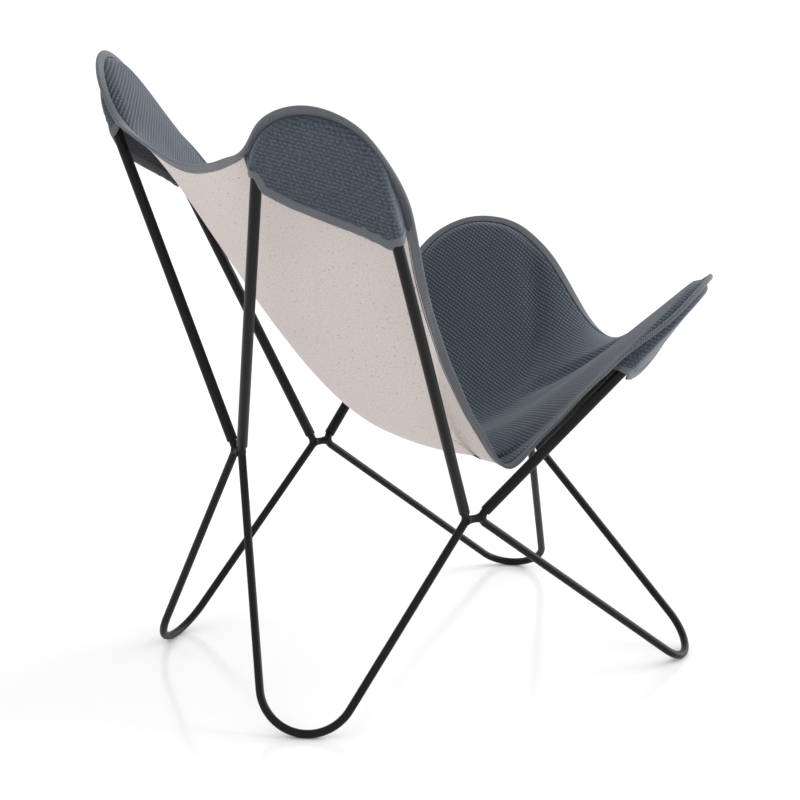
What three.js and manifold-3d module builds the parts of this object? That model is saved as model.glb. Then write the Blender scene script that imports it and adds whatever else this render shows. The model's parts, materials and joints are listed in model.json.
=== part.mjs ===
// A butterfly sling chair that comes apart for storage.
// Four bent steel rods are the legs. Each rod runs from one junction down to a foot loop and up to
// the next junction, and both of its ends turn up into a stub. Short welded rods tie the legs
// together at the rear, front, left and right junctions. Four bent tubes, the hoops, slide over the
// stubs, and a lined sling hangs from them by a pocket sewn into each of its four corners.
// Units are millimetres. +Z is up, -Y is the front, and +X is the sitter's left.

import * as THREE from 'three';
import { mergeVertices } from 'three/addons/utils/BufferGeometryUtils.js';
import Module from 'manifold-3d';

const wasm = await Module();
wasm.setup();

// Steel stock
const rodDiameter = 12;
const tubeDiameter = 16;
const tubeWall = 1.4;
const sectionSides = 12;

// Junctions: the height and place of each pair of bends in the leg rods
const rearJunctionY = 237;
const rearJunctionZ = 363;
const sideJunctionX = 236;
const sideJunctionY = -19;
const sideJunctionZ = 282.5;
const frontJunctionY = -280.5;
const frontJunctionZ = 298;
const junctionSpacing = 20;
const stubBendRadius = 13;
const stubLength = 70;

// Foot loops: where the centre of each loop stands on the plan, and how tight the rod is bent
const rearFootX = 201;
const rearFootY = 231;
const rearFootRadius = 70;
const frontFootX = 218;
const frontFootY = -377;
const frontFootRadius = 56;
const footFlatDepth = 0.4;

// Hoops: the centre and radius of the bend at the top of each tube
const rearHoopX = 299.5;
const rearHoopY = 254.5;
const rearHoopZ = 802;
const rearHoopRadius = 85;
const frontHoopX = 249.5;
const frontHoopY = -329.6;
const frontHoopZ = 525.2;
const frontHoopRadius = 90;
const hoopStart = 14;

// Bridges: the welded rods between neighbouring legs
const bridgeDiameter = 8;
const weldDiameter = 11;
const weldLength = 3;
const weldGap = 0.3;

// Cloth: each layer's thickness and what is left free between one layer and the next
const faceThickness = 1.5;
const liningThickness = 0.9;
const pocketThickness = 1.4;
const bindingThickness = 0.8;
const bindingWidth = 11;
const clothGap = 0.4;
const tubeGap = 0.9;
const pocketGap = 3;
const tapeGap = 0.7;
const hemGap = 1;
const seamGap = 1.1;
const hemStripDepth = 14;
const rearEarMargin = 24;
const frontEarMargin = 25;
const leftRearSlack = 20;
const slackFocus = 4;
const flankLiftRate = 3;
const flankBow = 1.5;

// Edge of the sling: the middle of each hollow edge between two corners
const topEdgeY = 316;
const topEdgeZ = 790;
const sideEdgeX = 215;
const sideEdgeY = -88;
const sideEdgeZ = 341;
const sideEdgeHeading = [0.32, -1, -1.45];
const frontEdgeY = -430;
const frontEdgeZ = 451;
const rearEarAngles = [68, 68];
const frontEarAngles = [71, 33];

// How far the edge keeps its heading where a hollow edge starts and ends, as shares of its chord
const topPullShares = [0.27, 0.16];
const backSidePullShares = [0.2, 0.48];
const frontSidePullShares = [0.18, 0.32];
const frontPullShares = [0.36, 0.33];

// Sag of the cloth from the surface that its edge spans: how far back and how far down
const seatSag = [30, 266];
const tiltSag = [20, -39];
const topSag = [100, 48];
const frontSag = [-7, 140];
const sideSag = [7, 330];
const lipSag = [420, 240];
const sagPower = 1.9;
const valleyNarrowness = 12;
const lipNarrowness = 28;
const lipPower = 6;

// Pockets: how far the pocket runs on along the edge past each end of the ear, and how its hem bows
const rearPocketOverrun = [32, 138];
const frontPocketOverrun = [85, 138];
const rearHemPull = [[-20, -60], [65, 0]];
const frontHemPull = [[-10, -45], [45, -10]];

// Steps of the sweeps and of the cloth
const bendStep = THREE.MathUtils.degToRad(12);
const spokesPerSide = 39;
const ringShares = [0.2, 0.38, 0.55, 0.71, 0.85, 0.94];
const straightSpokeShare = 0.5;
const weldShares = [0, 0.25, 0.5, 0.75, 1];
const tapeSplits = [4, 10];
const tapeEnds = [[0, 1, 10, 11], [1, 2, 9, 10], [2, 3, 8, 9], [3, 4, 7, 8], [4, 5, 6, 7]];
const mouthShares = [1 / 3, 2 / 3];
const crossingSteps = 200;
const trailStep = 5e-3;
const turnReach = 60;
const edgeSamples = 40;
const edgeWaves = 44;
const edgeReadings = 96;
const lengthWeight = 0.3;
const cutOverrun = 20;

const steel = () => new THREE.MeshStandardMaterial({ color: 0x17181a, roughness: 0.5, metalness: 0.4 });
const faceCloth = () => new THREE.MeshStandardMaterial({ color: 0x4b545f, roughness: 0.95, metalness: 0 });
const liningCloth = () => new THREE.MeshStandardMaterial({ color: 0xcfc8c4, roughness: 0.95, metalness: 0 });
const bindingTape = () => new THREE.MeshStandardMaterial({ color: 0x565b60, roughness: 0.9, metalness: 0 });

const vec = (x, y, z) => new THREE.Vector3(x, y, z);
const sum = (...parts) => parts.reduce((total, part) => total.add(part), vec(0, 0, 0));
const scaled = (v, length) => v.clone().multiplyScalar(length);
const between = (from, to) => to.clone().sub(from);
const unit = (v) => v.clone().normalize();
const ease = (t) => THREE.MathUtils.smoothstep(t, 0, 1);

// Solids

function solidOf(geometry) {
  const plain = geometry.clone();
  plain.deleteAttribute('normal');
  plain.deleteAttribute('uv');
  const merged = mergeVertices(plain, 1e-4);
  const mesh = new wasm.Mesh({
    numProp: 3,
    vertProperties: Float32Array.from(merged.attributes.position.array),
    triVerts: Uint32Array.from(merged.index.array),
  });
  return new wasm.Manifold(mesh);
}

function geometryOf(solid) {
  const mesh = solid.getMesh();
  const geometry = new THREE.BufferGeometry();
  geometry.setAttribute('position', new THREE.BufferAttribute(mesh.vertProperties, 3));
  geometry.setIndex(new THREE.BufferAttribute(mesh.triVerts, 1));
  const faceted = geometry.toNonIndexed();
  faceted.computeVertexNormals();
  return faceted;
}

// Gathers the triangles of one closed body. Triangles without area are left out, so that a row of
// cells may shrink to a point.
class Body {
  constructor() {
    this.corners = [];
    this.volume = 0;
  }

  triangle(a, b, c) {
    if (a.equals(b) || b.equals(c) || c.equals(a)) return;
    this.corners.push(a, b, c);
    this.volume += a.dot(b.clone().cross(c));
  }

  quad(a, b, c, d) {
    this.triangle(a, b, c);
    this.triangle(a, c, d);
  }

  geometry() {
    const corners = this.volume < 0 ? [...this.corners].reverse() : this.corners;
    const merged = mergeVertices(new THREE.BufferGeometry().setFromPoints(corners), 1e-4);
    merged.computeVertexNormals();
    return merged;
  }
}

// A layer of cloth between two offsets from a grid of cells, each with its place and its normal.
// A grid that closes on itself repeats its first column as its last one.
function layerGeometry(rows, back, front, closes) {
  const body = new Body();
  const offsetPlace = ({ place, normal }, offset) => sum(place, scaled(normal, offset));
  const faceOf = (offset) => rows.map((row) => row.map((cell) => offsetPlace(cell, offset)));
  const [near, far] = [faceOf(front), faceOf(back)];
  const lastRow = rows.length - 1;
  const lastColumn = rows[0].length - 1;
  for (let i = 0; i < lastRow; i += 1) {
    for (let j = 0; j < lastColumn; j += 1) {
      body.quad(near[i][j], near[i + 1][j], near[i + 1][j + 1], near[i][j + 1]);
      body.quad(far[i][j], far[i][j + 1], far[i + 1][j + 1], far[i + 1][j]);
    }
  }
  for (let j = 0; j < lastColumn; j += 1) {
    body.quad(near[lastRow][j + 1], near[lastRow][j], far[lastRow][j], far[lastRow][j + 1]);
    body.quad(near[0][j], near[0][j + 1], far[0][j + 1], far[0][j]);
  }
  for (let i = 0; i < lastRow && !closes; i += 1) {
    body.quad(near[i + 1][0], near[i][0], far[i][0], far[i + 1][0]);
    body.quad(near[i][lastColumn], near[i + 1][lastColumn], far[i + 1][lastColumn], far[i][lastColumn]);
  }
  return body.geometry();
}

// Tape folded over an edge. Each station has a cell on the edge, a cell further in, the depth
// between the two, and how far the tape's legs lie in front of and behind the cells.
function tapeGeometry(stations, closes) {
  const body = new Body();
  const rings = stations.map(({ edge, inner, depth, width, front, back }) => {
    const at = (inward, offset) => {
      const share = inward / depth;
      const place = edge.place.clone().lerp(inner.place, share);
      return sum(place, scaled(edge.normal, offset * (1 - share)), scaled(inner.normal, offset * share));
    };
    const outside = -tapeGap - bindingThickness;
    return [
      at(width, front + bindingThickness),
      at(0, front + bindingThickness),
      at(outside, front + bindingThickness),
      at(outside, -back - bindingThickness),
      at(0, -back - bindingThickness),
      at(width, -back - bindingThickness),
      at(width, -back),
      at(0, -back),
      at(-tapeGap, -back),
      at(-tapeGap, front),
      at(0, front),
      at(width, front),
    ];
  });
  // The tape's facets are split the same way as the cloth's below them.
  for (let j = 0; j < rings.length - 1; j += 1) {
    rings[j].forEach((corner, k) => {
      const next = (k + 1) % rings[j].length;
      const corners = [corner, rings[j][next], rings[j + 1][next], rings[j + 1][k]];
      if (tapeSplits.includes(k)) corners.push(corners.shift());
      body.quad(...corners);
    });
  }
  if (!closes) {
    const [first, last] = [rings[0], rings.at(-1)];
    tapeEnds.forEach(([i, j, k, l]) => {
      body.quad(first[l], first[k], first[j], first[i]);
      body.quad(last[i], last[j], last[k], last[l]);
    });
  }
  return body.geometry();
}

// Rods and tubes

// A path of straights whose inner corners are rounded, with a place for a section only where the
// path starts, ends or turns.
class BentPath extends THREE.Curve {
  constructor(corners, radii) {
    super();
    this.places = [corners[0]];
    this.headings = [unit(between(corners[0], corners[1]))];
    this.bendMiddles = [];
    radii.forEach((radius, i) => this.addBend(corners[i], corners[i + 1], corners[i + 2], radius));
    this.places.push(corners.at(-1));
    this.headings.push(this.headings.at(-1));
  }

  addBend(before, corner, after, radius) {
    const into = unit(between(before, corner));
    const away = unit(between(corner, after));
    const turn = into.angleTo(away);
    const inward = unit(sum(away, scaled(into, -away.dot(into))));
    const start = sum(corner, scaled(into, -radius * Math.tan(turn / 2)));
    const centre = sum(start, scaled(inward, radius));
    const steps = Math.max(2, Math.ceil(turn / bendStep));
    for (let i = 0; i <= steps; i += 1) {
      const angle = (turn * i) / steps;
      const spoke = sum(scaled(inward, -Math.cos(angle)), scaled(into, Math.sin(angle)));
      this.places.push(sum(centre, scaled(spoke, radius)));
      this.headings.push(sum(scaled(into, Math.cos(angle)), scaled(inward, Math.sin(angle))));
    }
    this.bendMiddles.push(sum(centre, scaled(unit(between(centre, corner)), radius)));
  }

  getUtoTmapping(u) {
    return u;
  }

  getPoint(t) {
    const place = t * (this.places.length - 1);
    const from = Math.min(Math.floor(place), this.places.length - 2);
    return this.places[from].clone().lerp(this.places[from + 1], place - from);
  }

  getTangent(t) {
    return this.headings[Math.round(t * (this.headings.length - 1))].clone();
  }
}

function ringOf(radius) {
  const corners = Array.from({ length: sectionSides }, (_, i) => (2 * Math.PI * i) / sectionSides);
  return corners.map((angle) => new THREE.Vector2(radius * Math.cos(angle), radius * Math.sin(angle)));
}

function sweep(path, outerRadius, boreRadius) {
  const section = new THREE.Shape(ringOf(outerRadius));
  if (boreRadius) section.holes.push(new THREE.Path(ringOf(boreRadius)));
  const steps = path.places.length - 1;
  return new THREE.ExtrudeGeometry(section, { steps, bevelEnabled: false, extrudePath: path });
}

// A loop runs straight from one knee, round a bend and straight back to the other knee. Up and
// across lie in the loop's plane: up away from the knees, across towards the chair's middle.
function loopFrame(midKnee, sideKnee, centre, radius) {
  const normal = unit(between(centre, midKnee).cross(between(centre, sideKnee)));
  const touch = (knee, way) => {
    const arm = between(centre, knee);
    const angle = Math.acos(radius / arm.length());
    const along = scaled(unit(arm), radius * Math.cos(angle));
    const square = scaled(normal.clone().cross(unit(arm)), way * radius * Math.sin(angle));
    return sum(centre, along, square);
  };
  const midTouch = touch(midKnee, -1);
  const sideTouch = touch(sideKnee, 1);
  const midHeading = unit(between(midKnee, midTouch));
  const sideHeading = unit(between(sideKnee, sideTouch));
  const up = unit(sum(midHeading, sideHeading));
  const across = unit(between(midHeading, sideHeading));
  const touchAngle = between(centre, midTouch).angleTo(up);
  const apex = sum(centre, scaled(up, radius / Math.cos(touchAngle)));
  const headings = { midHeading, sideHeading, up, across, normal };
  return { midKnee, sideKnee, centre, radius, touchAngle, apex, ...headings };
}

function kneesOf(side) {
  const halfSpacing = junctionSpacing / 2;
  return {
    rear: vec(side * halfSpacing, rearJunctionY, rearJunctionZ),
    sideRear: vec(side * sideJunctionX, sideJunctionY + halfSpacing, sideJunctionZ),
    sideFront: vec(side * sideJunctionX, sideJunctionY - halfSpacing, sideJunctionZ),
    front: vec(side * halfSpacing, frontJunctionY, frontJunctionZ),
  };
}

// The foot loop's centre is raised until the lowest point of its rod just reaches into the floor by
// the depth of the flat that is ground under it.
function footCentre(midKnee, sideKnee, x, y, radius) {
  const centre = vec(x, y, radius);
  for (let i = 0; i < edgeSamples; i += 1) {
    const normal = unit(between(centre, midKnee).cross(between(centre, sideKnee)));
    centre.z = rodDiameter / 2 - footFlatDepth + radius * Math.sqrt(1 - normal.z ** 2);
  }
  return centre;
}

function frameOf(side) {
  const knees = kneesOf(side);
  const rearTop = vec(side * rearHoopX, rearHoopY, rearHoopZ);
  const frontTop = vec(side * frontHoopX, frontHoopY, frontHoopZ);
  const rearFoot = footCentre(knees.rear, knees.sideRear, side * rearFootX, rearFootY, rearFootRadius);
  const frontFoot = footCentre(knees.front, knees.sideFront, side * frontFootX, frontFootY, frontFootRadius);
  return {
    rearHoop: loopFrame(knees.rear, knees.sideRear, rearTop, rearHoopRadius),
    frontHoop: loopFrame(knees.front, knees.sideFront, frontTop, frontHoopRadius),
    rearLeg: loopFrame(knees.rear, knees.sideRear, rearFoot, rearFootRadius),
    frontLeg: loopFrame(knees.front, knees.sideFront, frontFoot, frontFootRadius),
  };
}

function legPath(leg, hoop) {
  const corners = [
    sum(leg.midKnee, scaled(hoop.midHeading, stubLength)),
    leg.midKnee,
    leg.apex,
    leg.sideKnee,
    sum(leg.sideKnee, scaled(hoop.sideHeading, stubLength)),
  ];
  return new BentPath(corners, [stubBendRadius, leg.radius, stubBendRadius]);
}

function hoopPath(hoop) {
  const start = sum(hoop.midKnee, scaled(hoop.midHeading, hoopStart));
  const end = sum(hoop.sideKnee, scaled(hoop.sideHeading, hoopStart));
  return new BentPath([start, hoop.apex, end], [hoop.radius]);
}

function legGeometry(path) {
  const reach = 4 * sideJunctionX;
  const floor = new THREE.BoxGeometry(reach, reach, cutOverrun);
  floor.translate(0, 0, -cutOverrun / 2);
  return geometryOf(solidOf(sweep(path, rodDiameter / 2)).subtract(solidOf(floor)));
}

// A bridge is turned: a thin middle that swells into the weld at each leg, cut to the legs' rods.
function bridgeGeometry(fromPath, toPath, middleOf) {
  const from = middleOf(fromPath.bendMiddles);
  const to = middleOf(toPath.bendMiddles);
  const halfLength = from.distanceTo(to) / 2;
  const weldEnd = halfLength - rodDiameter / 4;
  const weldStart = halfLength - rodDiameter / 2 - weldLength;
  const half = weldShares.map((share) => {
    const swell = 1 - Math.sqrt(1 - share ** 2);
    const radius = THREE.MathUtils.lerp(bridgeDiameter, weldDiameter, swell) / 2;
    return new THREE.Vector2(radius, weldStart + weldLength * share);
  });
  const mirrored = half.map((p) => new THREE.Vector2(p.x, -p.y)).reverse();
  const outline = [
    new THREE.Vector2(0, -weldEnd),
    new THREE.Vector2(weldDiameter / 2, -weldEnd),
    ...mirrored,
    ...half,
    new THREE.Vector2(weldDiameter / 2, weldEnd),
    new THREE.Vector2(0, weldEnd),
  ];
  const turned = new THREE.LatheGeometry(outline, 2 * sectionSides);
  turned.applyQuaternion(new THREE.Quaternion().setFromUnitVectors(vec(0, 1, 0), unit(between(from, to))));
  const middle = scaled(sum(from, to), 1 / 2);
  turned.translate(middle.x, middle.y, middle.z);
  const rodWithGap = (path) => solidOf(sweep(path, rodDiameter / 2 + weldGap));
  return geometryOf(solidOf(turned).subtract(rodWithGap(fromPath)).subtract(rodWithGap(toPath)));
}

// Edge of the sling

// The seam between face and lining lies this far in front of the tubes' middles at the ears.
const clothLift = tubeDiameter / 2 + tubeGap + clothGap / 2 + liningThickness;

function towardSitter(hoop) {
  const inward = vec(-hoop.centre.x, sideJunctionY - hoop.centre.y, 0);
  return hoop.normal.dot(inward) > 0 ? hoop.normal : scaled(hoop.normal, -1);
}

function earPoint(hoop, angle, margin, slack) {
  const reach = hoop.radius + margin + slack * Math.cos(angle) ** slackFocus;
  const upward = scaled(hoop.up, reach * Math.cos(angle));
  return sum(hoop.centre, upward, scaled(hoop.across, reach * Math.sin(angle)));
}

function earArc(hoop, fromAngle, toAngle, margin, slack) {
  return Array.from({ length: edgeSamples + 1 }, (_, i) => {
    const angle = THREE.MathUtils.lerp(fromAngle, toAngle, i / edgeSamples);
    return earPoint(hoop, THREE.MathUtils.degToRad(angle), margin, slack);
  });
}

function hollowEdge(from, fromHeading, to, toHeading, pullShares) {
  const chord = from.distanceTo(to);
  const leave = sum(from, scaled(unit(fromHeading), chord * pullShares[0]));
  const arrive = sum(to, scaled(unit(toHeading), -chord * pullShares[1]));
  return new THREE.CubicBezierCurve3(from, leave, arrive, to).getPoints(edgeSamples);
}

// Half of the edge, from the middle of the top edge round both ears to the middle of the front edge.
// It is lifted in front of the hoops, fully at the ears and less and less along the hollow edges.
function halfEdge(side, frame, rearSlack) {
  const { rearHoop, frontHoop } = frame;
  const top = vec(0, topEdgeY, topEdgeZ);
  const flank = vec(side * sideEdgeX, sideEdgeY, sideEdgeZ);
  const front = vec(0, frontEdgeY, frontEdgeZ);
  const flankHeading = vec(side * sideEdgeHeading[0], sideEdgeHeading[1], sideEdgeHeading[2]);
  const rearArc = earArc(rearHoop, rearEarAngles[0], -rearEarAngles[1], rearEarMargin, rearSlack);
  const frontArc = earArc(frontHoop, -frontEarAngles[0], frontEarAngles[1], frontEarMargin, 0);
  const headingAt = (line, i) => between(line.at(i), line.at(i + 1));
  const pieces = [
    hollowEdge(top, vec(side, 0, 0), rearArc[0], headingAt(rearArc, 0), topPullShares),
    rearArc,
    hollowEdge(rearArc.at(-1), headingAt(rearArc, -2), flank, flankHeading, backSidePullShares),
    hollowEdge(flank, flankHeading, frontArc[0], headingAt(frontArc, 0), frontSidePullShares),
    frontArc,
    hollowEdge(frontArc.at(-1), headingAt(frontArc, -2), front, vec(-side, 0, 0), frontPullShares),
  ];
  const flankLift = (t) => ease(flankLiftRate * t) + flankBow * Math.sin(Math.PI * t);
  const rearLift = scaled(towardSitter(rearHoop), clothLift);
  const frontLift = scaled(towardSitter(frontHoop), clothLift);
  const lifts = [
    [rearLift, (t) => ease(t)],
    [rearLift, () => 1],
    [rearLift, (t) => flankLift(1 - t)],
    [frontLift, (t) => flankLift(t)],
    [frontLift, () => 1],
    [frontLift, (t) => ease(1 - t)],
  ];
  const points = [top];
  const marks = [0];
  let length = 0;
  pieces.forEach((piece, i) => {
    const [lift, share] = lifts[i];
    piece.slice(1).forEach((point, j) => {
      const lifted = sum(point, scaled(lift, share((j + 1) / edgeSamples)));
      length += lifted.distanceTo(points.at(-1));
      points.push(lifted);
    });
    marks.push(length);
  });
  return { points, marks };
}

function lengthsAlong(points) {
  const lengths = [0];
  points.slice(1).forEach((point, i) => lengths.push(lengths[i] + point.distanceTo(points[i])));
  return lengths;
}

// The value that belongs to a share of the whole way along a list of growing numbers
function readAt(growing, share) {
  const target = share * growing.at(-1);
  const next = Math.max(1, growing.findIndex((value) => value >= target - 1e-9));
  const part = (target - growing[next - 1]) / (growing[next] - growing[next - 1]);
  return { from: next - 1, part };
}

function pointAt(points, lengths, share) {
  const { from, part } = readAt(lengths, share);
  return points[from].clone().lerp(points[from + 1], part);
}

// Shares of the half edge at which the cloth has a spoke: closer together where the edge turns
function spokeShares(points, lengths) {
  const whole = lengths.at(-1);
  const placeAt = (length) => pointAt(points, lengths, THREE.MathUtils.clamp(length / whole, 0, 1));
  const turns = [0];
  lengths.slice(1).forEach((length, i) => {
    const here = placeAt(length);
    const arriving = between(placeAt(length - turnReach), here);
    const turn = arriving.angleTo(between(here, placeAt(length + turnReach)));
    turns.push(turns[i] + (turn * (length - lengths[i])) / turnReach);
  });
  const blend = lengths.map((length, i) => {
    const lengthShare = length / whole;
    return lengthWeight * lengthShare + (1 - lengthWeight) * (turns[i] / turns.at(-1));
  });
  return Array.from({ length: spokesPerSide + 1 }, (_, i) => {
    const { from, part } = readAt(blend, i / spokesPerSide);
    return THREE.MathUtils.lerp(lengths[from], lengths[from + 1], part) / whole;
  });
}

// Cloth

// The sling's surface. Its edge is read as waves around the sling that die away towards the middle,
// and sags are added: a general one, and one below the middle of each hollow edge.
class SlingSurface {
  constructor(right, left) {
    const count = 2 * edgeReadings;
    const rightLengths = lengthsAlong(right.points);
    const leftLengths = lengthsAlong(left.points);
    const readings = Array.from({ length: count }, (_, i) => (
      i < edgeReadings
        ? pointAt(right.points, rightLengths, i / edgeReadings)
        : pointAt(left.points, leftLengths, (count - i) / edgeReadings)
    ));
    this.flankAngle = (Math.PI * right.marks[3]) / right.marks.at(-1);
    this.waves = Array.from({ length: edgeWaves + 1 }, (_, k) => {
      const cosines = vec(0, 0, 0);
      const sines = vec(0, 0, 0);
      readings.forEach((point, i) => {
        const angle = (2 * Math.PI * i * k) / count;
        cosines.addScaledVector(point, (2 / count) * Math.cos(angle));
        sines.addScaledVector(point, (2 / count) * Math.sin(angle));
      });
      return { cosines, sines };
    });
    this.waves[0].cosines.multiplyScalar(1 / 2);
  }

  place(r, angle) {
    const place = vec(0, 0, 0);
    this.waves.forEach(({ cosines, sines }, k) => {
      place.addScaledVector(cosines, r ** k * Math.cos(k * angle));
      place.addScaledVector(sines, r ** k * Math.sin(k * angle));
    });
    const inside = 1 - r * r;
    const facing = (middle) => (1 + Math.cos(angle - middle)) / 2;
    const near = (middle) => inside * r ** 2 * facing(middle) ** valleyNarrowness;
    const lip = (middle) => inside * r ** lipPower * facing(middle) ** lipNarrowness;
    const addSag = (share, [back, down]) => place.add(vec(0, share * back, -share * down));
    addSag(inside ** sagPower, seatSag);
    addSag(near(0), topSag);
    addSag(near(Math.PI), frontSag);
    addSag(near(this.flankAngle) + near(-this.flankAngle), sideSag);
    [-1, 1].forEach((side) => {
      const share = lip(-side * this.flankAngle);
      place.add(vec(-side * share * lipSag[0], 0, -share * lipSag[1]));
    });
    addSag(inside * inside * r * Math.cos(angle), tiltSag);
    return place;
  }

  // The way in from the edge that stays square to the rings, down to where the spokes run straight
  trail(angle) {
    const stops = [{ r: 1, angle, depth: 0 }];
    while (stops.at(-1).r > straightSpokeShare) {
      const from = stops.at(-1);
      const here = this.place(from.r, from.angle);
      const inward = between(here, this.place(from.r - trailStep, from.angle));
      const along = scaled(between(here, this.place(from.r, from.angle + trailStep)), 1 / trailStep);
      const next = { r: from.r - trailStep, angle: from.angle - inward.dot(along) / along.lengthSq() };
      next.depth = from.depth + here.distanceTo(this.place(next.r, next.angle));
      stops.push(next);
    }
    return stops;
  }
}

// The stop on a trail at which a measure that grows along it reaches a value
function stopOn(trail, measure, value) {
  const next = trail.findIndex((stop) => measure(stop) >= value);
  if (next < 1) return trail.at(next);
  const [before, after] = [trail[next - 1], trail[next]];
  const share = (value - measure(before)) / (measure(after) - measure(before));
  return {
    r: THREE.MathUtils.lerp(before.r, after.r, share),
    angle: THREE.MathUtils.lerp(before.angle, after.angle, share),
  };
}

const mixed = (from, to, share) => ({
  place: from.place.clone().lerp(to.place, share),
  normal: from.normal.clone().lerp(to.normal, share),
});

const behind = ({ place, normal }, depth) => ({ place: sum(place, scaled(normal, -depth)), normal });

// Pockets

// The pocket's middle stays this far from the middle of the tube that it wraps.
const wrapRadius = tubeDiameter / 2 + pocketGap + bindingThickness + hemGap + pocketThickness / 2;
const pocketUnderLining = clothGap / 2 + liningThickness + clothGap + pocketThickness / 2;

// Shape of a pocket seen square to its hoop: how far each point lies outside the tube's middle line,
// and the cell of cloth there once the pocket is drawn from its seam round the back of the tube.
class PocketShape {
  constructor(hoop) {
    this.hoop = hoop;
    this.front = towardSitter(hoop);
  }

  flat(place) {
    const arm = between(this.hoop.centre, place);
    return vec(arm.dot(this.hoop.across), arm.dot(this.hoop.up), arm.dot(this.front));
  }

  outside(flat) {
    const { radius, touchAngle } = this.hoop;
    const angle = Math.atan2(flat.x, flat.y);
    const facing = THREE.MathUtils.clamp(angle, -touchAngle, touchAngle);
    const outward = vec(Math.sin(facing), Math.cos(facing), 0);
    const level = vec(flat.x, flat.y, 0);
    if (facing === angle) return { distance: level.length() - radius, outward };
    const sides = [-1, 1].map((way) => {
      const square = vec(way * Math.sin(touchAngle), Math.cos(touchAngle), 0);
      return { distance: level.dot(square) - radius, outward: square };
    });
    return sides[0].distance > sides[1].distance ? sides[0] : sides[1];
  }

  // Angle round the tube at which the cloth coming from the seam first touches the wrap
  touch(seam) {
    const away = this.outside(seam).distance;
    const reach = Math.hypot(away, seam.z);
    return Math.atan2(seam.z, away) - Math.acos(Math.min(1, wrapRadius / reach));
  }

  turned(flat) {
    return sum(scaled(this.hoop.across, flat.x), scaled(this.hoop.up, flat.y), scaled(this.front, flat.z));
  }

  // Cloth wrapped round the tube at a place on its middle line, set out so that the flat facets
  // between this place and its neighbours still clear the bend
  wrapCell(middle, angle, outset) {
    const { outward } = this.outside(middle);
    const facing = sum(scaled(outward, Math.cos(angle)), vec(0, 0, Math.sin(angle)));
    const flat = sum(vec(middle.x, middle.y, 0), scaled(outward, outset), scaled(facing, wrapRadius));
    return { place: sum(this.hoop.centre, this.turned(flat)), normal: this.turned(scaled(facing, -1)) };
  }

  backCell(flat) {
    const place = sum(this.hoop.centre, this.turned(vec(flat.x, flat.y, -wrapRadius)));
    return { place, normal: this.front };
  }

  // The place on the tube's middle line that is nearest to a place seen square to the hoop
  foot(flat) {
    const { distance, outward } = this.outside(flat);
    return sum(vec(flat.x, flat.y, 0), scaled(outward, -distance));
  }

  // Share of a line at which it reaches the tube's middle line
  crossing(lineAt) {
    for (let i = 0; i <= crossingSteps; i += 1) {
      if (this.outside(lineAt(i / crossingSteps)).distance <= 0) return i / crossingSteps;
    }
    return 1;
  }
}

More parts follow.
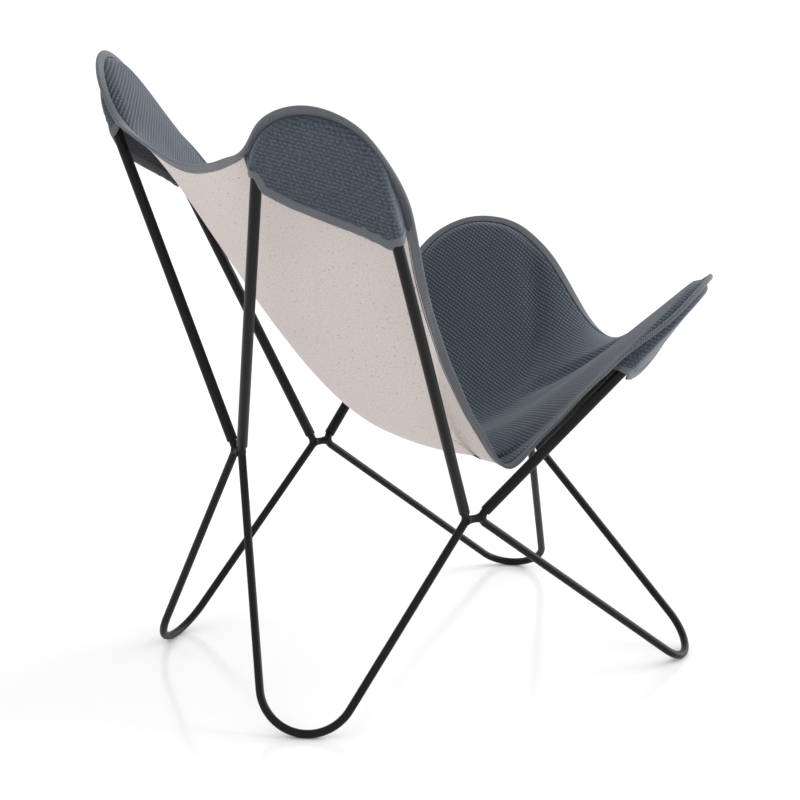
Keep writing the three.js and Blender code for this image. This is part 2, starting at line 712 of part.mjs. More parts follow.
// Rows of cells run from the hem round the tube to the seam along the edge tape. The columns stand
// on the sling's spokes; at both ends three short ones lag behind on their way round the tube, one
// after another, because there the hem itself wraps it.
function pocketRows(hoop, bands, hemPull) {
  const shape = new PocketShape(hoop);
  const seamShare = 1 + seamGap / bindingWidth;
  const seams = bands.map(({ edge, inner }) => behind(mixed(edge, inner, seamShare), pocketUnderLining));
  const last = bands.length - 1;
  const seamAt = (stop) => {
    const place = THREE.MathUtils.clamp(stop, 0, last);
    const before = Math.min(Math.floor(place), last - 1);
    return mixed(seams[before], seams[before + 1], place - before);
  };
  const innerStops = Array.from({ length: last - 1 }, (_, i) => i + 1);
  const endStops = mouthShares.map((share) => last - share).reverse();
  const stops = [0, ...mouthShares, ...innerStops, ...endStops, last];
  const from = shape.flat(seams[0].place);
  const to = shape.flat(seams[last].place);
  const hem = new THREE.CubicBezierCurve3(
    from,
    vec(from.x + hemPull[0][0], from.y + hemPull[0][1], 0),
    vec(to.x + hemPull[1][0], to.y + hemPull[1][1], 0),
    to,
  );
  const mouthStops = [
    shape.crossing((share) => hem.getPoint(share)),
    1 - shape.crossing((share) => hem.getPoint(1 - share)),
  ];
  const mouths = mouthStops.map((stop) => shape.foot(hem.getPoint(stop)));
  const wrapAngles = (seam) => {
    const touch = Math.max(shape.touch(seam), -Math.PI / 3);
    return [touch, (touch - Math.PI / 2) / 2, -Math.PI / 2];
  };
  // Places along the tube: the mouths at both ends, and the seams' own feet well inside the pocket
  const footAt = (stop) => {
    const seamFoot = (k) => shape.foot(shape.flat(seamAt(k).place));
    const foot = seamFoot(stop);
    foot.addScaledVector(between(seamFoot(0), mouths[0]), Math.max(0, 1 - stop));
    foot.addScaledVector(between(seamFoot(last), mouths[1]), Math.max(0, 1 - (last - stop)));
    return shape.foot(foot);
  };
  const columns = stops.map((stop, j) => {
    const fromTip = Math.min(j, stops.length - 1 - j);
    const seam = seamAt(stop);
    const flatSeam = shape.flat(seam.place);
    if (fromTip === 0) return Array(7).fill(seam);
    const way = stop < last / 2 ? 1 : -1;
    const lag = (way * Math.max(0, 1 - Math.max(0, fromTip - 3) / 2)) / 3;
    const feet = [1, 2, 3].map((step) => footAt(stop - step * lag));
    const spread = footAt(stop - 1).angleTo(footAt(stop + 1));
    const outset = 2 * hoop.radius * (1 / Math.cos(spread / 4) - 1);
    const wraps = wrapAngles(flatSeam).map((angle, i) => shape.wrapCell(feet[i], angle, outset));
    if (fromTip <= 3) {
      const cells = wraps.slice(0, fromTip);
      return [...Array(6 - fromTip).fill(cells.at(-1)), ...cells.reverse(), seam];
    }
    const hemShare = THREE.MathUtils.lerp(mouthStops[0], mouthStops[1], (stop - 1) / (last - 2));
    const hemPoint = hem.getPoint(hemShare);
    const length = Math.hypot(hemPoint.x - feet[2].x, hemPoint.y - feet[2].y);
    const tapeStop = Math.max(1 / 2, 1 - hemStripDepth / length);
    const backAt = (share) => shape.backCell(feet.at(-1).clone().lerp(hemPoint, share));
    return [backAt(1), backAt(tapeStop), backAt(tapeStop / 2), ...wraps.reverse(), seam];
  });
  return columns[0].map((_, i) => columns.map((column) => column[i]));
}

// The hem's tape runs from one tube to the other, where the pocket lies flat behind the hoop.
function hemTape(rows) {
  const backRow = rows[3];
  const from = 3;
  const to = backRow.length - 4;
  const leg = pocketThickness / 2 + hemGap;
  const stations = rows[0].slice(from, to + 1).map((edge, i) => {
    let inner = rows[1][from + i];
    if (i === 0) inner = backRow[from + 1];
    if (from + i === to) inner = backRow[to - 1];
    const depth = edge.place.distanceTo(inner.place);
    return { edge, inner, depth, width: bindingWidth, front: leg, back: leg };
  });
  return tapeGeometry(stations.reverse(), false);
}

// Chair

const chair = new THREE.Group();
chair.name = 'butterfly_sling_chair';

function addPiece(name, geometry, material) {
  const mesh = new THREE.Mesh(geometry, material);
  mesh.name = name;
  chair.add(mesh);
}

const sides = { right: -1, left: 1 };
const frames = {};
const legs = {};
Object.entries(sides).forEach(([label, side]) => {
  const frame = frameOf(side);
  const rear = legPath(frame.rearLeg, frame.rearHoop);
  const front = legPath(frame.frontLeg, frame.frontHoop);
  frames[label] = frame;
  legs[label] = { rear, front };
  addPiece(`leg_rear_${label}`, legGeometry(rear), steel());
  addPiece(`leg_front_${label}`, legGeometry(front), steel());
  const boreRadius = tubeDiameter / 2 - tubeWall;
  addPiece(`hoop_rear_${label}`, sweep(hoopPath(frame.rearHoop), tubeDiameter / 2, boreRadius), steel());
  addPiece(`hoop_front_${label}`, sweep(hoopPath(frame.frontHoop), tubeDiameter / 2, boreRadius), steel());
});

const midBend = (bends) => bends.at(0);
const sideBend = (bends) => bends.at(-1);
addPiece('bridge_rear', bridgeGeometry(legs.right.rear, legs.left.rear, midBend), steel());
addPiece('bridge_front', bridgeGeometry(legs.right.front, legs.left.front, midBend), steel());
Object.entries(legs).forEach(([label, { rear, front }]) => {
  addPiece(`bridge_${label}`, bridgeGeometry(rear, front, sideBend), steel());
});

const halves = {
  right: halfEdge(sides.right, frames.right, 0),
  left: halfEdge(sides.left, frames.left, leftRearSlack),
};
const sling = new SlingSurface(halves.right, halves.left);
const spokes = {};
Object.entries(halves).forEach(([label, half]) => {
  const way = -sides[label];
  spokes[label] = spokeShares(half.points, lengthsAlong(half.points)).map((share) => {
    const trail = sling.trail(way * Math.PI * share);
    const inner = stopOn(trail, ({ depth }) => depth, bindingWidth);
    const stops = ringShares.map((share) => {
      const r = share * inner.r;
      return { r, angle: stopOn(trail, (stop) => -stop.r, -r).angle };
    });
    const rings = [...stops, inner, trail[0]].map(({ r, angle }) => ({ place: sling.place(r, angle) }));
    return { along: share * half.marks.at(-1), rings, edge: rings.at(-1), inner: rings.at(-2) };
  });
});

const around = [...spokes.right, ...spokes.left.slice(0, -1).reverse()];
around[around.length - 1] = around[0];
const centreRow = around.map(() => ({ place: sling.place(0, 0), normal: vec(0, 0, 1) }));
const clothRows = [centreRow, ...around[0].rings.map((_, i) => around.map(({ rings }) => rings[i]))];
clothRows.slice(1).forEach((row, i) => {
  const further = clothRows[Math.min(i + 2, clothRows.length - 1)];
  row.slice(0, -1).forEach((cell, j) => {
    const before = row.at(j > 0 ? j - 1 : -2);
    const outward = between(clothRows[i][j].place, further[j].place);
    cell.normal = unit(outward.cross(between(before.place, row[j + 1].place)));
  });
});
const faceBack = clothGap / 2;
const liningFront = -clothGap / 2;
const faceLayer = layerGeometry(clothRows, faceBack, faceBack + faceThickness, true);
const liningLayer = layerGeometry(clothRows, liningFront - liningThickness, liningFront, true);
addPiece('sling_face', faceLayer, faceCloth());
addPiece('sling_lining', liningLayer, liningCloth());

const tapeFront = faceBack + faceThickness + tapeGap;
const tapeBack = liningThickness - liningFront + tapeGap;
const edgeStations = around.map(({ edge, inner }) => (
  { edge, inner, depth: bindingWidth, width: bindingWidth, front: tapeFront, back: tapeBack }
));
addPiece('edge_binding', tapeGeometry(edgeStations, true), bindingTape());

Object.keys(sides).forEach((label) => {
  const { marks } = halves[label];
  const inTurn = (list) => (label === 'right' ? list : [...list].reverse());
  const bandsBetween = (from, to) => inTurn(spokes[label].filter(({ along }) => along > from && along < to));
  const rearBands = bandsBetween(marks[1] - rearPocketOverrun[0], marks[2] + rearPocketOverrun[1]);
  const frontBands = bandsBetween(marks[4] - frontPocketOverrun[1], marks[5] + frontPocketOverrun[0]);
  const rearRows = pocketRows(frames[label].rearHoop, rearBands, inTurn(rearHemPull));
  const frontRows = pocketRows(frames[label].frontHoop, frontBands, inTurn([...frontHemPull].reverse()));
  const half = pocketThickness / 2;
  addPiece(`pocket_rear_${label}`, layerGeometry(rearRows, -half, half, false), faceCloth());
  addPiece(`pocket_front_${label}`, layerGeometry(frontRows, -half, half, false), faceCloth());
  addPiece(`pocket_binding_rear_${label}`, hemTape(rearRows), bindingTape());
  addPiece(`pocket_binding_front_${label}`, hemTape(frontRows), bindingTape());
});

// The chair stands on z = 0 with the middle of its plan at the origin.
const middle = new THREE.Box3().setFromObject(chair, true).getCenter(vec(0, 0, 0));
chair.children.forEach((mesh) => mesh.geometry.translate(-middle.x, -middle.y, 0));

export default chair;
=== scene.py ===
"""A butterfly sling chair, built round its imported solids.

Four bent rods, four bent tubes and four welded bridges are the frame. A sling of two layers of
cloth hangs from the tubes by a pocket in each corner, and a ribbed tape binds all its edges.
Sizes are in metres. +Z is up, -Y is the front, and +X is the sitter's left.
"""

import functools
import json
import math
from collections import namedtuple

import bmesh
import bpy
import numpy as np
from mathutils import Matrix, Vector

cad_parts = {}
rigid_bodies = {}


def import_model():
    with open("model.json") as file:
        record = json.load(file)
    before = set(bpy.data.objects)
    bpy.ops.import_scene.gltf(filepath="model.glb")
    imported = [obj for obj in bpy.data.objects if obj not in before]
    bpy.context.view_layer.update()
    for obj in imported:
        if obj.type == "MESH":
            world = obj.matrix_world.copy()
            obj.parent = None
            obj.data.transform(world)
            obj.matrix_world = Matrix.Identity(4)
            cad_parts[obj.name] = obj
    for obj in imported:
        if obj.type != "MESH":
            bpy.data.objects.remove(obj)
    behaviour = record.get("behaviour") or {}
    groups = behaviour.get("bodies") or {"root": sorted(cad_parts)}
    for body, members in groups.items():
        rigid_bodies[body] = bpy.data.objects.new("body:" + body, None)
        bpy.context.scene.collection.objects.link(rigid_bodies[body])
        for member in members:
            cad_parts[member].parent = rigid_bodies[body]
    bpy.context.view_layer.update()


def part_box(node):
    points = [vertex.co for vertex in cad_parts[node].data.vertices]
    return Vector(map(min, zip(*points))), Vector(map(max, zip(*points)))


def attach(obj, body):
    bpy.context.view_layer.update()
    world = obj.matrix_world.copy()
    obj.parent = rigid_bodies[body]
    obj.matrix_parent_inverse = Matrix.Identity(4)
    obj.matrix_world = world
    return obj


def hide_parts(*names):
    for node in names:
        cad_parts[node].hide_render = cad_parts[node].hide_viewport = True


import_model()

bl_info = {
    "name": "Butterfly Sling Chair",
    "version": (1, 0, 0),
    "blender": (4, 5, 0),
    "location": "View3D > Sidebar > Sling Chair",
    "description": "Builds a butterfly sling chair with its cloth, tape, pockets and steel frame",
    "category": "Add Mesh",
}

BODY = "root"
SIDES = {"right": -1, "left": 1}
ENDS = ("rear", "front")
CORNERS = [(label, end) for label in SIDES for end in ENDS]
TINY = 1e-12
MERGE_DISTANCE = 1e-6
HalfEdge = namedtuple("HalfEdge", "points lengths marks")

# Junctions of the leg rods, where two bends are welded together: places in y and z, or x, y and z
REAR_JUNCTION = (0.237, 0.363)
SIDE_JUNCTION = (0.236, -0.019, 0.2825)
FRONT_JUNCTION = (-0.2805, 0.298)
JUNCTION_SPACING = 0.020
STUB_BEND_RADIUS = 0.013
STUB_LENGTH = 0.070
HOOP_START = 0.014
RIM_WIDTH = 0.0004
RIM_ANGLE = math.radians(50)

# Weld beads at the ends of the bridges
BEAD_SWELL = 0.0022
BEAD_RUN = 0.0095
BEAD_END = 0.002
BEAD_ROUNDNESS = 0.97
BEAD_STEPS = 10

# Foot loops and hoops: centre and radius of the bend at the end of each loop
REAR_FOOT = (0.201, 0.231, 0.070)
FRONT_FOOT = (0.218, -0.377, 0.056)
FOOT_FLAT_DEPTH = 0.0004
REAR_HOOP = (0.2995, 0.2545, 0.802, 0.085)
FRONT_HOOP = (0.2495, -0.3296, 0.5252, 0.090)

# Edge of the sling. Angles are in degrees from the middle line of a hoop's bend.
TOP_EDGE = (0.0, 0.316, 0.790)
SIDE_EDGE = (0.215, -0.088, 0.341)
SIDE_EDGE_HEADING = (0.32, -1.0, -1.45)
FRONT_EDGE = (0.0, -0.430, 0.451)
REAR_EAR_ANGLES = (68, 68)
FRONT_EAR_ANGLES = (71, 33)
REAR_EAR_MARGINS = (0.024, 0.016)
FRONT_EAR_MARGINS = (0.024, 0.025)
LEFT_REAR_SLACK = 0.020
SLACK_FOCUS = 4
MARGIN_FADE = (-60, 20)
FLANK_LIFT_RATE = 3
FLANK_BOW = 1.5
TOP_PULLS = (0.27, 0.16)
BACK_SIDE_PULLS = (0.2, 0.48)
FRONT_SIDE_PULLS = (0.18, 0.32)
FRONT_PULLS = (0.36, 0.33)

# Sag of the cloth from the surface that its edge spans: how far back and how far down
SEAT_SAG = (0.030, 0.266)
TILT_SAG = (0.020, -0.039)
TOP_SAG = (0.100, 0.048)
FRONT_SAG = (-0.007, 0.140)
SIDE_SAG = (0.007, 0.330)
LIP_SAG = (0.420, 0.240)
SAG_POWER = 1.9
VALLEY_NARROWNESS = 12
LIP_NARROWNESS = 28
LIP_POWER = 6

# Form of the cloth off that surface: round the tubes, in soft folds and in the front arms' troughs.
# A fold is its height, its turns round the sling and out from the middle, and its start.
WRAP_DEPTH = 0.0078
WRAP_FADE = (0.010, 0.027)
EAR_FADE = (-0.03, 0.110)
FOLD_FADE = (0.02, 0.12)
SOFT_FOLDS = ((0.0010, 9.0, 6.0, 0.0), (0.0007, 17.0, -9.0, 1.1), (0.0005, 26.0, 21.0, 2.3))
ARM_FOLD_DEPTH = 0.011
ARM_FOLD_WIDTH = 0.021
ARM_FOLD_LEAN = 0.85
ARM_FOLD_SCALE = 0.45
ARM_FOLD_START = (0.50, 0.75)
ARM_FOLD_END = (0.012, 0.06)

# Pockets: how far each one runs on past the ear's ends, and how its hem bows.
# The first of a pair is on the side of the chair's middle, and the second on the flank's side.
REAR_POCKET_OVERRUN = (0.032, 0.150)
FRONT_POCKET_OVERRUN = (0.085, 0.110)
REAR_HEM_PULL = ((-0.022, -0.057), (0.075, 0.050))
FRONT_HEM_PULL = ((-0.010, -0.045), (0.045, -0.010))
HEM_TURN = (0.042, 0.026)
REAR_POCKET_BULGE = 0.004
FRONT_POCKET_BULGE = 0.014
BULGE_POWERS = (0.8, 1.4)
POCKET_FADE = (0.0, 0.02)
LEAST_REACH = 0.002
LEAST_LENGTH = 0.0015
STEEPEST_START = math.pi / 3

# Seam, tape and stitches. A line is its depth in from the edge and its half width.
SEAM_GAP = 0.0002
TUBE_GAP = 0.0009
LINING_SPACE = 0.0009
TAPE_GAP = 0.0001
POCKET_GAP = 0.0006
HEM_GAP = 0.0002
TAPE_PRESS = 0.0003
FOLD_FLATNESS = 0.7
FOLD_ANGLES = (72, 36, 0, -36, -72)
GROOVE_DEPTH = 0.0015
GROOVE_LINE = (0.0124, 0.0012)
RIDGE_LINE = (0.0170, 0.0024)
RIDGE_SHARE = 0.4
STITCH_LENGTH_SHARE = 0.36
STITCH_HALF_WIDTH = 0.00042
STITCH_HALF_HEIGHT = 0.00032
STITCH_SINK = 0.0002
HEM_STITCH_CUT = slice(10, -12)

# Fineness of the pieces
SECTION_SEGMENTS = 32
BRIDGE_SEGMENTS = 24
SETTLING_ROUNDS = 40
UNWRAP_ROUNDS = 30
ISLAND_ROUNDS = 12
BEND_STEP = math.radians(4)
EDGE_SAMPLES = 40
EDGE_READINGS = 96
EDGE_WAVES = 44
STATIONS_PER_SIDE = 240
TRAIL_STEP = 0.005
STRAIGHT_SHARE = 0.5
RINGS_INSIDE = 46
EDGE_DEPTHS = (
    0.0, 0.002, 0.004, 0.006, 0.008, 0.0095, 0.0108, 0.0116, 0.0122, 0.0128,
    0.0136, 0.015, 0.017, 0.019, 0.021, 0.024, 0.028, 0.033,
)
PATTERN_EDGE_ROWS = (0, 3, 6, 9, 13)
PATTERN_STEP = 3
TURN_REACH = 0.060
LENGTH_WEIGHT = 0.6
SEAM_ROW = 3
STITCH_ROW = 5
TAPE_ROWS = 7
TURN_OVER_ROW = 9
POCKET_WRAP_STEPS = 9
POCKET_LEVEL_STEPS = 12
POCKET_ROWS = 42
CROSSING_SAMPLES = 401
HEM_STEP = 0.003
HEM_STRIDES = 8
HEM_END_STRIDE = 0.35
HEM_END_REACH = 0.030
LINE_SMOOTHINGS = 8
NORMAL_SMOOTHINGS = 3
HALF_COLUMN = 0.5
PROBE = 0.001
NUDGE = 1.0001
LEAST_MEASURE = 0.0005

# Camera fitted to the photo, with its azimuth, pitch and roll in degrees, and the stage
CAMERA_PLACE = (-2.6237, 1.4653, 1.1994)
CAMERA_ANGLES = (-29.76, -14.75, -0.15)
FOCAL_PIXELS = 2054.4
PHOTO_PIXELS = 800
SENSOR_WIDTH = 36.0
FLOOR_REACH = 60.0
KEY_PLACE = (-0.6, -3.0, 1.7)
KEY_TARGET = (0, 0, 0.4)
KEY_SPREAD = math.radians(50)


def unit(vector):
    return vector / np.maximum(np.linalg.norm(vector, axis=-1, keepdims=True), TINY)


def dot(first, second):
    return np.sum(first * second, axis=-1)


def smoothstep(value, low, high):
    share = np.clip((value - low) / (high - low), 0.0, 1.0)
    return share * share * (3.0 - 2.0 * share)


def mix(first, second, share):
    return first + (second - first) * share


def lengths_along(points):
    steps = np.linalg.norm(np.diff(points, axis=0), axis=1)
    return np.concatenate(([0.0], np.cumsum(steps)))


def read_along(points, lengths, at):
    return np.stack([np.interp(at, lengths, points[:, axis]) for axis in range(3)], axis=-1)


def turn_between(into, away):
    """The angle of a bend, and the way from its corner towards its inside, square to one side."""
    return math.acos(np.clip(dot(into, away), -1, 1)), unit(away - into * dot(into, away))


# Frame loops


class Loop:
    """A bent rod or tube: straight from one knee, round a bend, and straight back to the other."""

    def __init__(self, mid_knee, side_knee, centre, radius):
        self.mid_knee = mid_knee
        self.side_knee = side_knee
        self.centre = centre
        self.radius = radius
        self.normal = unit(np.cross(mid_knee - centre, side_knee - centre))
        mid_touch = self.touch(mid_knee, -1)
        side_touch = self.touch(side_knee, 1)
        self.mid_heading = unit(mid_touch - mid_knee)
        self.side_heading = unit(side_touch - side_knee)
        self.up = unit(self.mid_heading + self.side_heading)
        self.across = unit(self.side_heading - self.mid_heading)
        self.touch_angle = math.acos(dot(unit(mid_touch - centre), self.up))
        self.apex = centre + self.up * radius / math.cos(self.touch_angle)

    def touch(self, knee, way):
        arm = knee - self.centre
        angle = math.acos(self.radius / np.linalg.norm(arm))
        along = unit(arm) * self.radius * math.cos(angle)
        square = np.cross(self.normal, unit(arm)) * way * self.radius * math.sin(angle)
        return self.centre + along + square

    def toward_sitter(self):
        inward = np.array((-self.centre[0], SIDE_JUNCTION[1] - self.centre[1], 0.0))
        return self.normal if dot(self.normal, inward) > 0 else -self.normal

    def flat(self, places):
        """Places seen square to the loop: across, up, and how far in front of it."""
        arms = places - self.centre
        axes = (self.across, self.up, self.toward_sitter())
        return np.stack([dot(arms, axis) for axis in axes], axis=-1)

    def solid(self, flat):
        front = self.toward_sitter()
        return (
            self.centre
            + flat[..., 0:1] * self.across
            + flat[..., 1:2] * self.up
            + flat[..., 2:3] * front
        )


def foot_centre(mid_knee, side_knee, x, y, radius, rod_radius):
    """The foot loop's centre, raised until its rod just reaches into the floor by its flat."""
    centre = np.array((x, y, radius))
    for _ in range(SETTLING_ROUNDS):
        normal = unit(np.cross(mid_knee - centre, side_knee - centre))
        centre[2] = rod_radius - FOOT_FLAT_DEPTH + radius * math.sqrt(1 - normal[2] ** 2)
    return centre


def frame_loops(side, rod_radius):
    half = JUNCTION_SPACING / 2
    rear = np.array((side * half, REAR_JUNCTION[0], REAR_JUNCTION[1]))
    side_rear = np.array((side * SIDE_JUNCTION[0], SIDE_JUNCTION[1] + half, SIDE_JUNCTION[2]))
    side_front = np.array((side * SIDE_JUNCTION[0], SIDE_JUNCTION[1] - half, SIDE_JUNCTION[2]))
    front = np.array((side * half, FRONT_JUNCTION[0], FRONT_JUNCTION[1]))
    mirror = np.array((side, 1.0, 1.0))
    rear_foot = foot_centre(
        rear, side_rear, side * REAR_FOOT[0], REAR_FOOT[1], REAR_FOOT[2], rod_radius
    )
    front_foot = foot_centre(
        front, side_front, side * FRONT_FOOT[0], FRONT_FOOT[1], FRONT_FOOT[2], rod_radius
    )
    return {
        "hoop_rear": Loop(rear, side_rear, np.array(REAR_HOOP[:3]) * mirror, REAR_HOOP[3]),
        "hoop_front": Loop(front, side_front, np.array(FRONT_HOOP[:3]) * mirror, FRONT_HOOP[3]),
        "leg_rear": Loop(rear, side_rear, rear_foot, REAR_FOOT[2]),
        "leg_front": Loop(front, side_front, front_foot, FRONT_FOOT[2]),
    }


# Edge of the sling


def ear_arc(hoop, from_angle, to_angle, margins, slack):
    """The edge outside a hoop's bend. Its margin may differ on the middle's and the flank's side."""
    degrees = np.linspace(from_angle, to_angle, EDGE_SAMPLES + 1)
    angles = np.radians(degrees)
    margin = mix(margins[1], margins[0], smoothstep(degrees, *MARGIN_FADE))
    reach = hoop.radius + margin + slack * np.cos(angles) ** SLACK_FOCUS
    upward = (reach * np.cos(angles))[:, None] * hoop.up
    return hoop.centre + upward + (reach * np.sin(angles))[:, None] * hoop.across


def hollow_edge(start, start_heading, end, end_heading, pulls):
    chord = np.linalg.norm(end - start)
    leave = start + unit(start_heading) * chord * pulls[0]
    arrive = end - unit(end_heading) * chord * pulls[1]
    t = np.linspace(0, 1, EDGE_SAMPLES + 1)[:, None]
    return (
        (1 - t) ** 3 * start
        + 3 * (1 - t) ** 2 * t * leave
        + 3 * (1 - t) * t**2 * arrive
        + t**3 * end
    )


def half_edge(side, loops, rear_slack, lift):
    """Half of the edge, from the middle of the top edge to the middle of the front edge.

    The marks are the lengths at which its six pieces start and end.
    """
    rear_hoop = loops["hoop_rear"]
    front_hoop = loops["hoop_front"]
    top = np.array(TOP_EDGE)
    flank = np.array((side * SIDE_EDGE[0], SIDE_EDGE[1], SIDE_EDGE[2]))
    front = np.array(FRONT_EDGE)
    heading = np.array((side * SIDE_EDGE_HEADING[0], SIDE_EDGE_HEADING[1], SIDE_EDGE_HEADING[2]))
    rear = ear_arc(rear_hoop, REAR_EAR_ANGLES[0], -REAR_EAR_ANGLES[1], REAR_EAR_MARGINS, rear_slack)
    fore = ear_arc(front_hoop, -FRONT_EAR_ANGLES[0], FRONT_EAR_ANGLES[1], FRONT_EAR_MARGINS, 0.0)
    outward = np.array((side, 0.0, 0.0))
    pieces = (
        hollow_edge(top, outward, rear[0], rear[1] - rear[0], TOP_PULLS),
        rear,
        hollow_edge(rear[-1], rear[-1] - rear[-2], flank, heading, BACK_SIDE_PULLS),
        hollow_edge(flank, heading, fore[0], fore[1] - fore[0], FRONT_SIDE_PULLS),
        fore,
        hollow_edge(fore[-1], fore[-1] - fore[-2], front, -outward, FRONT_PULLS),
    )
    t = np.arange(1, EDGE_SAMPLES + 1) / EDGE_SAMPLES
    whole = np.ones_like(t)
    flank_out = smoothstep(FLANK_LIFT_RATE * (1 - t), 0, 1) + FLANK_BOW * np.sin(np.pi * (1 - t))
    flank_in = smoothstep(FLANK_LIFT_RATE * t, 0, 1) + FLANK_BOW * np.sin(np.pi * t)
    rear_lift = rear_hoop.toward_sitter() * lift
    front_lift = front_hoop.toward_sitter() * lift
    lifts = (
        (rear_lift, smoothstep(t, 0, 1)),
        (rear_lift, whole),
        (rear_lift, flank_out),
        (front_lift, flank_in),
        (front_lift, whole),
        (front_lift, smoothstep(1 - t, 0, 1)),
    )
    points = [top[None]]
    for piece, (toward, share) in zip(pieces, lifts):
        points.append(piece[1:] + share[:, None] * toward)
    points = np.concatenate(points)
    lengths = lengths_along(points)
    return HalfEdge(points, lengths, lengths[::EDGE_SAMPLES])


def ear_spans(marks):
    return {"rear": (marks[1], marks[2]), "front": (marks[4], marks[5])}


def pocket_spans(marks):
    return {
        "rear": (marks[1] - REAR_POCKET_OVERRUN[0], marks[2] + REAR_POCKET_OVERRUN[1]),
        "front": (marks[4] - FRONT_POCKET_OVERRUN[1], marks[5] + FRONT_POCKET_OVERRUN[0]),
    }


# Cloth surface


class SlingSurface:
    """The surface on which the seam between face and lining lies.

    Its edge is read as waves round the sling that die away towards the middle, and sags are added.
    """

    def __init__(self, right, left):
        count = 2 * EDGE_READINGS
        shares = np.arange(EDGE_READINGS) / EDGE_READINGS
        first = read_along(right.points, right.lengths, shares * right.marks[-1])
        second = read_along(left.points, left.lengths, (1 - shares) * left.marks[-1])
        readings = np.concatenate((first, second))
        angles = 2 * np.pi * np.arange(count) / count
        waves = np.arange(EDGE_WAVES + 1)[:, None]
        self.cosines = (2 / count) * np.cos(waves * angles) @ readings
        self.sines = (2 / count) * np.sin(waves * angles) @ readings
        self.cosines[0] /= 2
        self.flank_angle = np.pi * right.marks[3] / right.marks[-1]

    def place(self, r, angle):
        r, angle = np.broadcast_arrays(np.asarray(r, float), np.asarray(angle, float))
        waves = np.arange(EDGE_WAVES + 1)
        powers = r[..., None] ** waves
        turns = angle[..., None] * waves
        place = (powers * np.cos(turns)) @ self.cosines + (powers * np.sin(turns)) @ self.sines
        inside = 1 - r * r

        def facing(middle):
            return (1 + np.cos(angle - middle)) / 2

        def near(middle):
            return inside * r**2 * facing(middle) ** VALLEY_NARROWNESS

        def add_sag(share, sag):
            place[..., 1] += share * sag[0]
            place[..., 2] -= share * sag[1]

        add_sag(inside**SAG_POWER, SEAT_SAG)
        add_sag(near(0.0), TOP_SAG)
        add_sag(near(np.pi), FRONT_SAG)
        add_sag(near(self.flank_angle) + near(-self.flank_angle), SIDE_SAG)
        for side in SIDES.values():
            lip = inside * r**LIP_POWER * facing(-side * self.flank_angle) ** LIP_NARROWNESS
            place[..., 0] -= side * lip * LIP_SAG[0]
            place[..., 2] -= lip * LIP_SAG[1]
        add_sag(inside * inside * r * np.cos(angle), TILT_SAG)
        return place

    def trails(self, angles):
        """The ways in from the edge that stay square to the rings."""
        r = 1.0
        rs = [r]
        turned = [angles]
        depths = [np.zeros_like(angles)]
        while r > STRAIGHT_SHARE:
            here = self.place(r, turned[-1])
            inward = self.place(r - TRAIL_STEP, turned[-1]) - here
            along = (self.place(r, turned[-1] + TRAIL_STEP) - here) / TRAIL_STEP
            turned.append(turned[-1] - dot(inward, along) / dot(along, along))
            r -= TRAIL_STEP
            rs.append(r)
            depths.append(depths[-1] + np.linalg.norm(self.place(r, turned[-1]) - here, axis=-1))
        return np.array(rs), np.array(turned), np.array(depths)


def station_shares(half, count):
    """Shares of the half edge at which the cloth has a column, closer where the edge turns."""
    points, lengths, marks = half
    whole = marks[-1]
    before = read_along(points, lengths, np.clip(lengths - TURN_REACH, 0, whole))
    after = read_along(points, lengths, np.clip(lengths + TURN_REACH, 0, whole))
    arriving = points[1:] - before[1:]
    leaving = after[1:] - points[1:]
    sizes = np.linalg.norm(arriving, axis=1) * np.linalg.norm(leaving, axis=1)
    cosines = np.where(sizes > 0, dot(arriving, leaving) / np.maximum(sizes, TINY), 1.0)
    turns = np.arccos(np.clip(cosines, -1, 1)) * np.diff(lengths)
    turns = np.concatenate(([0.0], np.cumsum(turns)))
    blend = LENGTH_WEIGHT * lengths / whole + (1 - LENGTH_WEIGHT) * turns / turns[-1]
    return np.interp(np.linspace(0, 1, count + 1), blend, lengths) / whole


